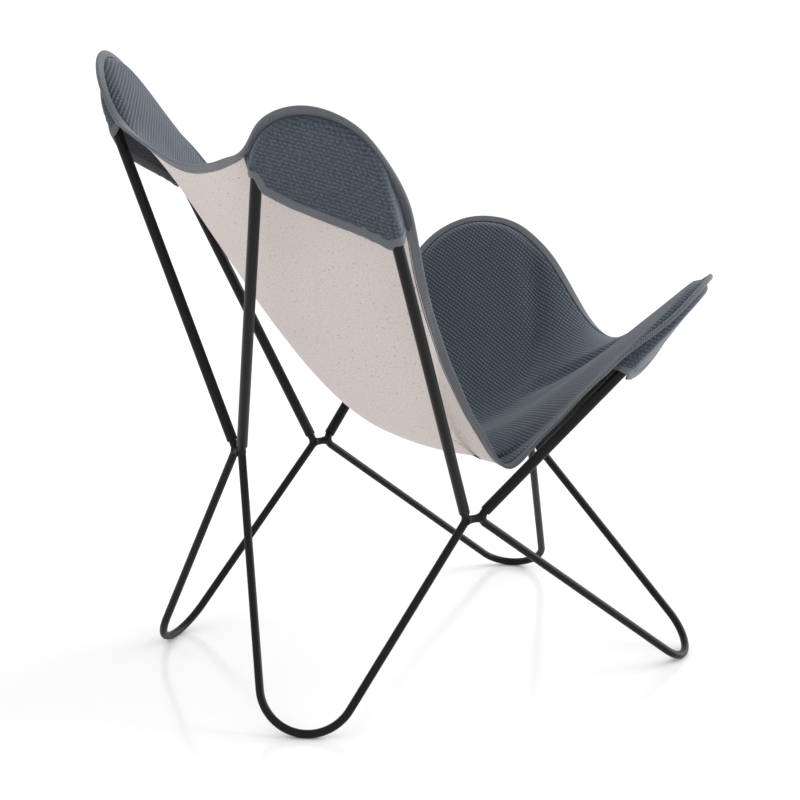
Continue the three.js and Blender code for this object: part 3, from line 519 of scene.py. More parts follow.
class ChairShape:
    """All that the pieces share: the frame's loops and the sling's surface with its columns."""

    def __init__(self, rod_diameter, tube_diameter):
        lift = tube_diameter / 2 + TUBE_GAP + SEAM_GAP + LINING_SPACE
        self.tube_radius = tube_diameter / 2
        self.loops = {
            label: frame_loops(side, rod_diameter / 2) for label, side in SIDES.items()
        }
        self.halves = {
            "right": half_edge(-1, self.loops["right"], 0.0, lift),
            "left": half_edge(1, self.loops["left"], LEFT_REAR_SLACK, lift),
        }
        self.surface = SlingSurface(self.halves["right"], self.halves["left"])
        self.shift = self.plan_shift()
        self.pattern = None
        self.cut = {}
        self.set_columns()
        self.set_grid()

    def plan_shift(self):
        """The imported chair's plan is centred, so its rear bridge tells how far it was moved."""
        low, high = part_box("bridge_rear")
        middle = (np.array(low) + np.array(high)) / 2
        bends = [mid_bend(self.loops[label]["leg_rear"], self.loops[label]["hoop_rear"])
                 for label in SIDES]
        return np.array((*(middle - sum(bends) / 2)[:2], 0.0))

    def set_columns(self):
        """Columns run right round the edge: down the right half and back up the left one."""
        whole_right, whole_left = (self.halves[label].marks[-1] for label in SIDES)
        right, left = (station_shares(self.halves[label], STATIONS_PER_SIDE) for label in SIDES)
        left = left[1:-1][::-1]
        self.right_count = len(right)
        self.along = np.concatenate((right * whole_right, left * whole_left))
        self.is_right = np.arange(len(self.along)) < self.right_count
        self.perimeter = whole_right + whole_left
        self.running = np.concatenate((right * whole_right, self.perimeter - left * whole_left))
        self.trail = self.surface.trails(np.concatenate((np.pi * right, -np.pi * left)))

    def half_mask(self, label):
        return self.is_right if label == "right" else ~self.is_right

    def rings_at(self, depths):
        """How far out each column lies, 1 to 0, at the given depths in from the edge."""
        rs, _, stops = self.trail
        return np.array([np.interp(depths, stops[:, j], rs) for j in range(stops.shape[1])]).T

    def angles_at(self, r):
        rs, turned, _ = self.trail
        return np.array([
            np.interp(-r[:, j], -rs, turned[:, j]) for j in range(turned.shape[1])
        ]).T

    def set_grid(self):
        """The cloth's grid, from the edge to the middle, with places, normals and depths."""
        edge_r = self.rings_at(np.array(EDGE_DEPTHS))
        shares = 1 - np.linspace(0, 1, RINGS_INSIDE + 1)[1:]
        inner_r = edge_r[-1] * shares[:, None]
        r = np.concatenate((edge_r, inner_r))
        self.ring_r = r
        places = self.surface.place(r, self.angles_at(r))
        inner_depth = EDGE_DEPTHS[-1] + np.cumsum(
            np.linalg.norm(np.diff(places[len(EDGE_DEPTHS) - 1:], axis=0), axis=-1), axis=0
        )
        edge_depth = np.repeat(np.array(EDGE_DEPTHS)[:, None], places.shape[1], axis=1)
        self.depth = np.concatenate((edge_depth, inner_depth))
        self.normals = grid_normals(places)
        self.places = places + self.relief() * self.normals
        self.normals = grid_normals(self.places)

    def weight_along(self, spans_of, fade):
        """1 where a column lies in one of its half's spans, fading to 0 on both sides of it."""
        weight = np.zeros_like(self.along)
        for label in SIDES:
            mine = self.half_mask(label)
            for low, high in spans_of(self.halves[label].marks).values():
                outside = np.maximum(low - self.along, self.along - high)
                near = 1 - smoothstep(outside, *fade)
                weight = np.where(mine, np.maximum(weight, near), weight)
        return weight

    def relief(self):
        """How far the cloth lies off the sagging surface: it wraps the tubes and has soft folds."""
        ears = self.weight_along(ear_spans, EAR_FADE)
        wrap = -WRAP_DEPTH * ears * (1 - smoothstep(self.depth, *WRAP_FADE))
        angle = self.angles_at(self.ring_r)
        inward = smoothstep(self.depth, *FOLD_FADE)
        folds = sum(
            height * np.sin(around * angle + across * self.ring_r + start)
            for height, around, across, start in SOFT_FOLDS
        )
        settled = folds * inward * self.ring_r**2
        from_front = math.pi - np.abs(angle)
        middle = ARM_FOLD_LEAN * (self.ring_r - ARM_FOLD_START[0])
        aside = (from_front - middle) * self.ring_r * ARM_FOLD_SCALE
        reach = smoothstep(self.ring_r, *ARM_FOLD_START) * smoothstep(self.depth, *ARM_FOLD_END)
        arm_folds = -ARM_FOLD_DEPTH * np.exp(-((aside / ARM_FOLD_WIDTH) ** 2)) * reach
        return (wrap + settled + arm_folds)[..., None]

    def flat_pattern(self):
        """Flat places of the sling's grid, from a coarser copy of it that is laid flat."""
        if self.pattern is not None:
            return self.pattern
        step = PATTERN_STEP
        last = len(self.places) - 1
        edge_rows = [*PATTERN_EDGE_ROWS, len(EDGE_DEPTHS) - 1]
        kept = edge_rows + list(range(edge_rows[-1] + step, last, step)) + [last]
        coarse = grid_piece("pattern", self.places[kept][:, ::step], None, wraps=True)
        columns = self.places.shape[1] // step
        middle = (self.right_count - 1) // step
        table = unwrap(coarse, ((middle, 0), (0, 0)))[:, :columns]
        self.cut = {key: coarse[key] for key in ("cut_width", "cut_length", "cut_area")}
        bpy.data.objects.remove(coarse)
        fine = np.zeros((len(kept), columns, step, 2))
        before, after, beyond = (np.roll(table, turn, axis=1) for turn in (1, -1, -2))
        for part in range(step):
            t = part / step
            fine[:, :, part] = 0.5 * (
                2 * table + (after - before) * t
                + (2 * before - 5 * table + 4 * after - beyond) * t**2
                + (3 * table - before - 3 * after + beyond) * t**3
            )
        fine = fine.reshape(len(kept), -1, 2)
        pattern = np.zeros((*self.depth.shape, 2))
        for low, high, first, second in zip(kept, kept[1:], fine, fine[1:]):
            span = self.depth[high] - self.depth[low]
            for row in range(low, high + 1):
                share = (self.depth[row] - self.depth[low]) / span
                pattern[row] = mix(first, second, share[:, None])
        self.pattern = np.concatenate((pattern, pattern[:, :1]), axis=1)
        return self.pattern

    def tape_offsets(self, cloth):
        """How far the tape's two legs lie in front of and behind the seam's surface.

        Where a pocket's cloth lies under the tape, the back leg lies further out.
        """
        front = np.full_like(self.along, SEAM_GAP + cloth.face_thickness + TAPE_GAP)
        pockets = self.weight_along(pocket_spans, POCKET_FADE)
        pocket = (cloth.pocket_thickness + TAPE_GAP) * pockets
        return front, SEAM_GAP + cloth.lining_thickness + TAPE_GAP + pocket

    def moved(self, places):
        return places + self.shift


def mid_bend(leg, hoop):
    """Middle of the small bend at the top of a leg rod, where the bridge is welded on."""
    return bend_middle(-hoop.mid_heading, unit(leg.apex - leg.mid_knee), leg.mid_knee)


def side_bend(leg, hoop):
    """Middle of the small bend at the side of the chair, where two legs are welded together."""
    return bend_middle(unit(leg.side_knee - leg.apex), hoop.side_heading, leg.side_knee)


def bend_middle(into, away, corner):
    turn, inward = turn_between(into, away)
    start = corner - into * STUB_BEND_RADIUS * math.tan(turn / 2)
    centre = start + inward * STUB_BEND_RADIUS
    return centre + unit(corner - centre) * STUB_BEND_RADIUS


def grid_normals(places):
    """Normals of a grid of rings, from the edge in to the middle, towards the sitter."""
    outward = np.empty_like(places)
    outward[1:-1] = places[:-2] - places[2:]
    outward[0] = places[0] - places[1]
    outward[-1] = places[-2] - places[-1]
    around = np.roll(places, -1, axis=1) - np.roll(places, 1, axis=1)
    normals = unit(np.cross(outward, around))
    normals[-1] = unit(np.mean(normals[-2], axis=0))
    return normals


@functools.lru_cache(maxsize=4)
def chair_shape(rod_diameter, tube_diameter):
    return ChairShape(rod_diameter, tube_diameter)


def current_shape(context):
    sizes = context.scene.chair_frame
    return chair_shape(round(sizes.rod_diameter, 6), round(sizes.tube_diameter, 6))


# Pieces


def new_piece(name, bm, material, smooth=True):
    mesh = bpy.data.meshes.new(name)
    bm.to_mesh(mesh)
    bm.free()
    for polygon in mesh.polygons:
        polygon.use_smooth = smooth
    piece = bpy.data.objects.new(name, mesh)
    bpy.context.scene.collection.objects.link(piece)
    if material:
        piece.data.materials.append(material)
    return piece


def finish_piece(piece, slot, *nodes):
    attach(piece, BODY)
    if nodes:
        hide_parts(*nodes)


def ring_matrix(centre, heading):
    turn = Vector((0, 0, 1)).rotation_difference(Vector(heading))
    return Matrix.Translation(Vector(centre)) @ turn.to_matrix().to_4x4()


def open_ring(bm, centre, heading, radius):
    made = bmesh.ops.create_circle(
        bm, cap_ends=False, segments=SECTION_SEGMENTS, radius=radius,
        matrix=ring_matrix(centre, heading),
    )
    return made["verts"]


def ring_edges(verts):
    members = set(verts)
    return [edge for edge in {e for v in verts for e in v.link_edges}
            if edge.verts[0] in members and edge.verts[1] in members]


def extrude_ring(bm, verts, move):
    made = bmesh.ops.extrude_edge_only(bm, edges=ring_edges(verts))
    fresh = [part for part in made["geom"] if isinstance(part, bmesh.types.BMVert)]
    bmesh.ops.translate(bm, verts=fresh, vec=Vector(move))
    return fresh


def spin_ring(bm, verts, centre, axis, angle):
    steps = max(2, math.ceil(angle / BEND_STEP))
    made = bmesh.ops.spin(
        bm, geom=list(verts) + ring_edges(verts), cent=Vector(centre), axis=Vector(axis),
        angle=angle, steps=steps, use_duplicate=False,
    )
    return [part for part in made["geom_last"] if isinstance(part, bmesh.types.BMVert)]


def bent_bar(bm, corners, radii, section_radius):
    """Straights of round bar with rounded corners between them. Its two open ends come back."""
    here = corners[0]
    verts = open_ring(bm, here, unit(corners[1] - here), section_radius)
    ends = [verts]
    for index, radius in enumerate(radii):
        corner = corners[index + 1]
        into = unit(corner - corners[index])
        away = unit(corners[index + 2] - corner)
        turn, inward = turn_between(into, away)
        start = corner - into * radius * math.tan(turn / 2)
        centre = start + inward * radius
        verts = extrude_ring(bm, verts, start - here)
        verts = spin_ring(bm, verts, centre, np.cross(into, inward), turn)
        here = corner + away * radius * math.tan(turn / 2)
    verts = extrude_ring(bm, verts, corners[-1] - here)
    ends.append(verts)
    return ends


def cap(bm, verts):
    bmesh.ops.contextual_create(bm, geom=ring_edges(verts))


def close_up(bm):
    bmesh.ops.remove_doubles(bm, verts=bm.verts, dist=MERGE_DISTANCE)
    bmesh.ops.recalc_face_normals(bm, faces=bm.faces)


def make_leg(context, label, end):
    shape = current_shape(context)
    loops = shape.loops[label]
    leg = loops[f"leg_{end}"]
    hoop = loops[f"hoop_{end}"]
    corners = [shape.moved(point) for point in (
        leg.mid_knee + hoop.mid_heading * STUB_LENGTH,
        leg.mid_knee,
        leg.apex,
        leg.side_knee,
        leg.side_knee + hoop.side_heading * STUB_LENGTH,
    )]
    radius = context.scene.chair_frame.rod_diameter / 2
    bm = bmesh.new()
    for verts in bent_bar(bm, corners, (STUB_BEND_RADIUS, leg.radius, STUB_BEND_RADIUS), radius):
        cap(bm, verts)
    close_up(bm)
    for vert in bm.verts:
        vert.co.z = max(vert.co.z, 0.0)
    piece = new_piece(f"leg_rod_{end}_{label}", bm, steel_material("rod_steel", context))
    finish_piece(piece, "rod_steel", f"leg_{end}_{label}")


def make_hoop(context, label, end):
    shape = current_shape(context)
    hoop = shape.loops[label][f"hoop_{end}"]
    corners = [shape.moved(point) for point in (
        hoop.mid_knee + hoop.mid_heading * HOOP_START,
        hoop.apex,
        hoop.side_knee + hoop.side_heading * HOOP_START,
    )]
    sizes = context.scene.chair_frame
    bm = bmesh.new()
    bent_bar(bm, corners, (hoop.radius,), sizes.tube_diameter / 2)
    close_up(bm)
    piece = new_piece(f"hoop_tube_{end}_{label}", bm, steel_material("tube_steel", context))
    wall = piece.modifiers.new("wall", "SOLIDIFY")
    wall.thickness = sizes.tube_wall
    wall.offset = -1
    rim = piece.modifiers.new("rim", "BEVEL")
    rim.width = RIM_WIDTH
    rim.segments = 2
    rim.limit_method = "ANGLE"
    rim.angle_limit = RIM_ANGLE
    finish_piece(piece, "tube_steel", f"hoop_{end}_{label}")


def make_bridge(context, name, start, end):
    """A short rod with a weld bead at each leg: a profile spun about the rod's own line."""
    sizes = context.scene.chair_frame
    half = np.linalg.norm(end - start) / 2
    reach = half - sizes.rod_diameter / 2
    middle_radius = sizes.bridge_diameter / 2
    bead = sizes.rod_diameter / 2 + BEAD_SWELL
    run = min(BEAD_RUN, reach)
    profile = [(middle_radius, 0.0), (middle_radius, reach - run)]
    for step in range(1, BEAD_STEPS + 1):
        share = step / BEAD_STEPS
        swell = 1 - math.sqrt(1 - (share * BEAD_ROUNDNESS) ** 2)
        profile.append((mix(middle_radius, bead, swell), reach - run + (run + BEAD_END) * share))
    profile += [(bead, half - BEAD_END), (0.0, half - BEAD_END)]
    outline = [(r, -z) for r, z in profile[::-1]] + profile[1:]
    bm = bmesh.new()
    verts = [bm.verts.new((r, 0, z)) for r, z in outline]
    edges = [bm.edges.new(pair) for pair in zip(verts, verts[1:])]
    bmesh.ops.spin(
        bm, geom=verts + edges, cent=(0, 0, 0), axis=(0, 0, 1), angle=2 * math.pi,
        steps=BRIDGE_SEGMENTS, use_merge=True, use_duplicate=False,
    )
    close_up(bm)
    bmesh.ops.transform(bm, verts=bm.verts, matrix=ring_matrix((start + end) / 2, unit(end - start)))
    piece = new_piece(f"bridge_rod_{name}", bm, steel_material("rod_steel", context))
    finish_piece(piece, "rod_steel", f"bridge_{name}")


# Sheets on a grid


def grid_piece(name, places, material, wraps=False):
    """A sheet whose corners stand at the given places: rows first, then columns.

    A sheet that wraps meets its own first column again. Its UVs start as column and row numbers.
    """
    rows, columns = places.shape[:2]
    if wraps:
        places = np.concatenate((places, places[:, :1]), axis=1)
        columns += 1
    bm = bmesh.new()
    bmesh.ops.create_grid(bm, x_segments=columns - 1, y_segments=rows - 1, size=0.5)
    uv = bm.loops.layers.uv.new("UVMap")
    bm.verts.ensure_lookup_table()
    grid = [(round((v.co.y + 0.5) * (rows - 1)), round((v.co.x + 0.5) * (columns - 1)))
            for v in bm.verts]
    for face in bm.faces:
        for loop in face.loops:
            row, column = grid[loop.vert.index]
            loop[uv].uv = (column, row)
    for vert, (row, column) in zip(bm.verts, grid):
        vert.co = places[row, column]
    bmesh.ops.remove_doubles(bm, verts=bm.verts, dist=MERGE_DISTANCE)
    return new_piece(name, bm, material)


def set_uv(piece, table, layer):
    """Adds a UV layer with the table's value for the row and column of each corner."""
    data = piece.data
    data.uv_layers.new(name=layer)
    numbers = read_uv(data, "UVMap").round().astype(int)
    values = table[numbers[:, 1], np.minimum(numbers[:, 0], table.shape[1] - 1)]
    data.uv_layers[layer].data.foreach_set("uv", values.astype(np.float32).ravel())


def turn_toward(piece, place, heading):
    """Turns a sheet's faces so that the face nearest to a place looks along a heading."""
    data = piece.data
    centres = np.zeros(len(data.polygons) * 3, np.float32)
    data.polygons.foreach_get("center", centres)
    nearest = int(np.argmin(np.linalg.norm(centres.reshape(-1, 3) - place, axis=1)))
    if data.polygons[nearest].normal.dot(Vector(heading)) < 0:
        data.flip_normals()


def unwrap(piece, upward):
    """Lays a sheet flat with little stretch, in metres, and notes the size that it is cut to.

    upward gives two corners as (column, row): the way from the first to the second points up.
    """
    view = bpy.context.view_layer
    for other in view.objects:
        other.select_set(False)
    piece.select_set(True)
    view.objects.active = piece
    layer = piece.data.uv_layers.new(name="Cloth")
    piece.data.uv_layers.active = layer
    bpy.ops.object.mode_set(mode="EDIT")
    bpy.ops.mesh.select_all(action="SELECT")
    bpy.ops.uv.unwrap(method="MINIMUM_STRETCH", iterations=UNWRAP_ROUNDS, margin=0.0)
    bpy.ops.object.mode_set(mode="OBJECT")
    data = piece.data
    flat = read_uv(data, "Cloth")
    table = uv_table(data, flat)
    way = table[upward[1][1], upward[1][0]] - table[upward[0][1], upward[0][0]]
    turn = math.atan2(way[0], way[1])
    cosine, sine = math.cos(turn), math.sin(turn)
    flat = np.stack((cosine * flat[:, 0] - sine * flat[:, 1],
                     sine * flat[:, 0] + cosine * flat[:, 1]), axis=1)
    mesh_area = sum(polygon.area for polygon in data.polygons)
    flat_area = 0.0
    for polygon in data.polygons:
        corners = flat[polygon.loop_start:polygon.loop_start + polygon.loop_total]
        ahead = np.roll(corners, -1, axis=0)
        flat_area += 0.5 * np.sum(corners[:, 0] * ahead[:, 1] - ahead[:, 0] * corners[:, 1])
    flat = (flat - flat.mean(axis=0)) * math.sqrt(mesh_area / abs(flat_area))
    data.uv_layers["Cloth"].data.foreach_set("uv", flat.astype(np.float32).ravel())
    note_cut(piece, flat, mesh_area)
    return uv_table(data, flat)


def read_uv(data, layer):
    values = np.zeros(len(data.loops) * 2, np.float32)
    data.uv_layers[layer].data.foreach_get("uv", values)
    return values.reshape(-1, 2).astype(float)


def uv_table(data, flat):
    """Flat places by row and column, read through the row and column numbers of each corner."""
    numbers = read_uv(data, "UVMap").round().astype(int)
    table = np.zeros((numbers[:, 1].max() + 1, numbers[:, 0].max() + 1, 2))
    table[numbers[:, 1], numbers[:, 0]] = flat
    return table


def note_cut(piece, flat, area):
    size = flat.max(axis=0) - flat.min(axis=0)
    piece["cut_width"], piece["cut_length"] = float(size[0]), float(size[1])
    piece["cut_area"] = float(area)


def thicken(piece, thickness, offset):
    layer = piece.modifiers.new("thickness", "SOLIDIFY")
    layer.thickness = thickness
    layer.offset = offset
    layer.use_even_offset = False


def make_sling_layer(context, name, node, material, slot, offset, thickness, groove):
    shape = current_shape(context)
    dip = -groove * np.exp(-(((shape.depth - GROOVE_LINE[0]) / GROOVE_LINE[1]) ** 2))
    dip += groove * RIDGE_SHARE * np.exp(-(((shape.depth - RIDGE_LINE[0]) / RIDGE_LINE[1]) ** 2))
    places = shape.moved(shape.places + (offset + dip)[..., None] * shape.normals)
    piece = grid_piece(name, places, material, wraps=True)
    turn_toward(piece, places[-1, 0], (0, 0, 1))
    set_uv(piece, shape.flat_pattern(), "Cloth")
    for key, value in shape.cut.items():
        piece[key] = value
    thicken(piece, thickness, 1 if offset > 0 else -1)
    finish_piece(piece, slot, node)


def folded_tape(places, normals, front, back):
    """Profile of a tape folded over an edge, for every column: front leg, fold and back leg."""
    press = np.linspace(0, 1, len(places))[:, None, None] ** 3 * TAPE_PRESS
    out = unit(places[0] - places[1])
    front = np.broadcast_to(front, places.shape[1])[:, None]
    back = np.broadcast_to(back, places.shape[1])[:, None]
    rows = [places[i] + normals[i] * (front - press[i]) for i in range(len(places) - 1, 0, -1)]
    half = (front + back) / 2
    middle = (front - back) / 2
    for turn in np.radians(FOLD_ANGLES):
        lift = normals[0] * (middle + half * math.sin(turn))
        rows.append(places[0] + (lift + out * half * FOLD_FLATNESS * math.cos(turn)))
    rows += [places[i] - normals[i] * (back - press[i]) for i in range(1, len(places))]
    return np.stack(rows)


def across_lengths(rows):
    steps = np.linalg.norm(np.diff(rows, axis=0), axis=-1).mean(axis=1)
    return np.concatenate(([0.0], np.cumsum(steps)))


def tape_piece(context, name, rows, running, wraps):
    piece = grid_piece(name, rows, tape_material(context), wraps=wraps)
    across = across_lengths(rows)
    table = np.stack(np.broadcast_arrays(running[None, :], across[:, None]), axis=-1)
    set_uv(piece, table, "Tape")
    out_way = rows[len(rows) // 2] - (rows[0] + rows[-1]) / 2
    middle = rows.shape[1] // 2
    turn_toward(piece, rows[len(rows) // 2, middle], out_way[middle])
    thicken(piece, context.scene.chair_cloth.tape_thickness, 1)
    return piece


def make_edge_tape(context):
    shape = current_shape(context)
    cloth = context.scene.chair_cloth
    front, back = shape.tape_offsets(cloth)
    rows = folded_tape(shape.places[:TAPE_ROWS], shape.normals[:TAPE_ROWS], front, back)
    running = np.append(shape.running, shape.perimeter)
    piece = tape_piece(context, "edge_tape", shape.moved(rows), running, True)
    finish_piece(piece, "binding_tape", "edge_binding")


class Pocket:
    """A corner's pocket: columns of cloth from the seam round the tube to the hem behind it."""

    def __init__(self, shape, label, end, wrap_radius, under):
        self.hoop = shape.loops[label][f"hoop_{end}"]
        self.wrap_radius = wrap_radius
        low, high = pocket_spans(shape.halves[label].marks)[end]
        if end == "rear":
            pulls = REAR_HEM_PULL
            self.turns = HEM_TURN
            self.bulge = REAR_POCKET_BULGE
        else:
            pulls = FRONT_HEM_PULL[::-1]
            self.turns = HEM_TURN[::-1]
            self.bulge = FRONT_POCKET_BULGE
        inside = (shape.along > low) & (shape.along < high)
        chosen = np.where(shape.half_mask(label) & inside)[0]
        self.columns = chosen[np.argsort(shape.along[chosen])]
        self.along = shape.along[self.columns]
        self.seam = self.behind(shape, SEAM_ROW, under)
        self.over = self.behind(shape, TURN_OVER_ROW, under)
        self.set_paths(pulls)

    def behind(self, shape, row, under):
        places = shape.places[row, self.columns] - shape.normals[row, self.columns] * under
        return self.hoop.flat(places)

    def outside(self, flat):
        """How far a place lies outside the tube's middle line, and which way is out."""
        angle = math.atan2(flat[0], flat[1])
        limit = self.hoop.touch_angle
        facing = min(max(angle, -limit), limit)
        level = np.array(flat[:2])
        if facing == angle:
            outward = np.array((math.sin(facing), math.cos(facing)))
            return np.linalg.norm(level) - self.hoop.radius, outward
        sides = []
        for way in (-1, 1):
            square = np.array((way * math.sin(limit), math.cos(limit)))
            sides.append((dot(level, square) - self.hoop.radius, square))
        return max(sides, key=lambda side: side[0])

    def foot(self, flat):
        distance, outward = self.outside(flat)
        return np.array(flat[:2]) - outward * distance

    def hem_point(self, share, pulls):
        start, end = self.seam[0, :2], self.seam[-1, :2]
        leave, arrive = start + np.array(pulls[0]), end + np.array(pulls[1])
        rest = 1 - share
        return (
            rest**3 * start + 3 * rest**2 * share * leave
            + 3 * rest * share**2 * arrive + share**3 * end
        )

    def crossing(self, pulls, backwards):
        """The share of the hem at which it comes in over the tube's middle line."""
        for share in np.linspace(0, 1, CROSSING_SAMPLES):
            place = self.hem_point(1 - share if backwards else share, pulls)
            if self.outside(place)[0] <= 0:
                return 1 - share if backwards else share
        return 0.5

    def set_paths(self, pulls):
        first, last = self.crossing(pulls, False), self.crossing(pulls, True)
        count = len(self.columns)
        self.paths = []
        self.lengths = np.zeros(count)
        ends = [self.foot(self.hem_point(share, pulls)) for share in (first, last)]
        feet = [self.foot(place) for place in self.over]
        for j in range(count):
            seam, over = self.seam[j], self.over[j]
            share = j / (count - 1)
            gaps = self.along[j] - self.along[0], self.along[-1] - self.along[j]
            drawn = feet[j]
            for end, gap, turn, own in zip(ends, gaps, self.turns, (feet[0], feet[-1])):
                drawn = drawn + (end - own) * (1 - smoothstep(gap, 0.0, turn))
            foot = self.foot(drawn)
            _, outward = self.outside(foot * NUDGE)
            away = max(dot(over[:2] - foot, outward), LEAST_REACH)
            size = math.hypot(away, over[2])
            touch = math.atan2(over[2], away) - math.acos(min(1.0, self.wrap_radius / size))
            touch = max(touch, -STEEPEST_START)
            points = [seam, over]
            for angle in np.linspace(touch, -math.pi / 2, POCKET_WRAP_STEPS):
                facing = np.array((*outward * math.cos(angle), math.sin(angle)))
                points.append(np.array((*foot, 0.0)) + facing * self.wrap_radius)
            hem = self.hem_point(mix(first, last, share), pulls)
            bow = self.bulge * math.sin(math.pi * share) ** BULGE_POWERS[0]
            for part in np.linspace(0, 1, POCKET_LEVEL_STEPS + 1)[1:]:
                level = mix(foot, hem, part)
                points.append(np.array((*level, -self.wrap_radius - bow * part ** BULGE_POWERS[1])))
            path = np.array(points)
            lengths = lengths_along(path)
            gap = min(near / turn for near, turn in zip(gaps, self.turns))
            kept = math.sqrt(1 - (1 - gap) ** 2) if gap < 1 else 1.0
            self.paths.append((path, lengths))
            self.lengths[j] = max(lengths[-1] * kept, LEAST_LENGTH)

    def sheet_rows(self):
        """Rows of places from the seam to the hem."""
        shares = np.linspace(0, 1, POCKET_ROWS)
        columns = [
            self.hoop.solid(read_along(path, lengths, shares * length))
            for (path, lengths), length in zip(self.paths, self.lengths)
        ]
        return np.stack(columns, axis=1)

    def place(self, columns, measures):
        """Places on the endless sheet, at fractions of a column and lengths down its path."""
        low = np.clip(columns.astype(int), 0, len(self.paths) - 2)
        share = (columns - low)[:, None]
        sides = []
        for side in (0, 1):
            picked = [self.paths[j + side] for j in low]
            sides.append(np.array([
                read_along(path, lengths, at) for (path, lengths), at in zip(picked, measures)
            ]))
        return self.hoop.solid(mix(sides[0], sides[1], share))

    def slopes(self, columns, measures):
        """How a place on the sheet moves for one more column, and for one more metre down."""
        last = len(self.paths) - 1
        before = np.clip(columns - HALF_COLUMN, 0, last)
        after = np.clip(columns + HALF_COLUMN, 0, last)
        across = self.place(after, measures) - self.place(before, measures)
        down = self.place(columns, measures + PROBE) - self.place(columns, measures - PROBE)
        return across / (after - before)[:, None], down / (2 * PROBE)

    def hem_rows(self, width):
        """Rows from the hem in over the width of its tape, stepped over the cloth, and normals."""
        last = len(self.paths) - 1
        numbers = np.arange(last + 1, dtype=float)
        lengths = lengths_along(self.place(numbers, self.lengths))
        at = np.linspace(0, lengths[-1], int(lengths[-1] / HEM_STEP))
        columns, measures = np.interp(at, lengths, numbers), np.interp(at, lengths, self.lengths)
        middle = len(at) // 2
        top = self.hoop.centre + self.hoop.up * self.hoop.radius
        ends = np.minimum(at, at[-1] - at)
        taper = HEM_END_STRIDE + (1 - HEM_END_STRIDE) * smoothstep(ends, 0.0, HEM_END_REACH)
        stride = width / HEM_STRIDES * taper
        rows, normals = [], []
        for _ in range(HEM_STRIDES + 1):
            line = self.place(columns, measures)
            smooth = line.copy()
            for _ in range(LINE_SMOOTHINGS):
                smooth[1:-1] = (smooth[:-2] + 2 * smooth[1:-1] + smooth[2:]) / 4
            ahead = unit(np.gradient(smooth, axis=0))
            across, down = self.slopes(columns, measures)
            normal = unit(np.cross(across, down))
            for _ in range(NORMAL_SMOOTHINGS):
                normal[1:-1] = unit(normal[:-2] + 2 * normal[1:-1] + normal[2:])
            rows.append(line)
            normals.append(normal)
            inward = unit(np.cross(normal, ahead))
            if dot(inward[middle], top - line[middle]) < 0:
                inward = -inward
            across_twice, mixed, down_twice = dot(across, across), dot(across, down), dot(down, down)
            in_across, in_down = dot(inward, across), dot(inward, down)
            size = np.maximum(across_twice * down_twice - mixed * mixed, TINY)
            sideways = (in_across * down_twice - in_down * mixed) / size
            downward = (in_down * across_twice - in_across * mixed) / size
            columns = np.clip(columns + stride * sideways, 0, last)
            measures = np.maximum(measures + stride * downward, LEAST_MEASURE)
        rows, normals = np.array(rows), np.array(normals)
        if dot(normals[0, middle], self.hoop.toward_sitter()) > 0:
            normals = -normals
        return rows, normals


def make_pocket(context, label, end):
    shape = current_shape(context)
    cloth = context.scene.chair_cloth
    half = cloth.pocket_thickness / 2
    under = SEAM_GAP + cloth.lining_thickness + TAPE_GAP + half
    radius = shape.tube_radius + half + POCKET_GAP
    pocket = Pocket(shape, label, end, radius, under)
    rows = pocket.sheet_rows()
    weave = weave_material(context, "basket_weave_reverse", 0.30)
    piece = grid_piece(f"pocket_cloth_{end}_{label}", shape.moved(rows), weave)
    behind = -pocket.hoop.toward_sitter()
    middle = rows.shape[1] // 2
    turn_toward(piece, shape.moved(rows)[-3, middle], behind)
    unwrap(piece, ((middle, len(rows) - 1), (middle, 0)))
    thicken(piece, cloth.pocket_thickness, 0)
    finish_piece(piece, "face_cloth", f"pocket_{end}_{label}")
    hem_rows, normals = pocket.hem_rows(cloth.tape_width)
    offset = half + HEM_GAP
    tape_rows = folded_tape(hem_rows, normals, offset, offset)
    running = lengths_along(hem_rows[0])
    tape = tape_piece(context, f"hem_tape_{end}_{label}", shape.moved(tape_rows), running, False)
    finish_piece(tape, "binding_tape", f"pocket_binding_{end}_{label}")
    row = len(hem_rows) - 2
    stitch = hem_rows[row] + normals[row] * (offset + cloth.tape_thickness - STITCH_SINK)
    stitch, facing = stitch[HEM_STITCH_CUT], normals[row][HEM_STITCH_CUT]
    make_stitches(context, f"hem_stitches_{end}_{label}", shape.moved(stitch), facing, False)


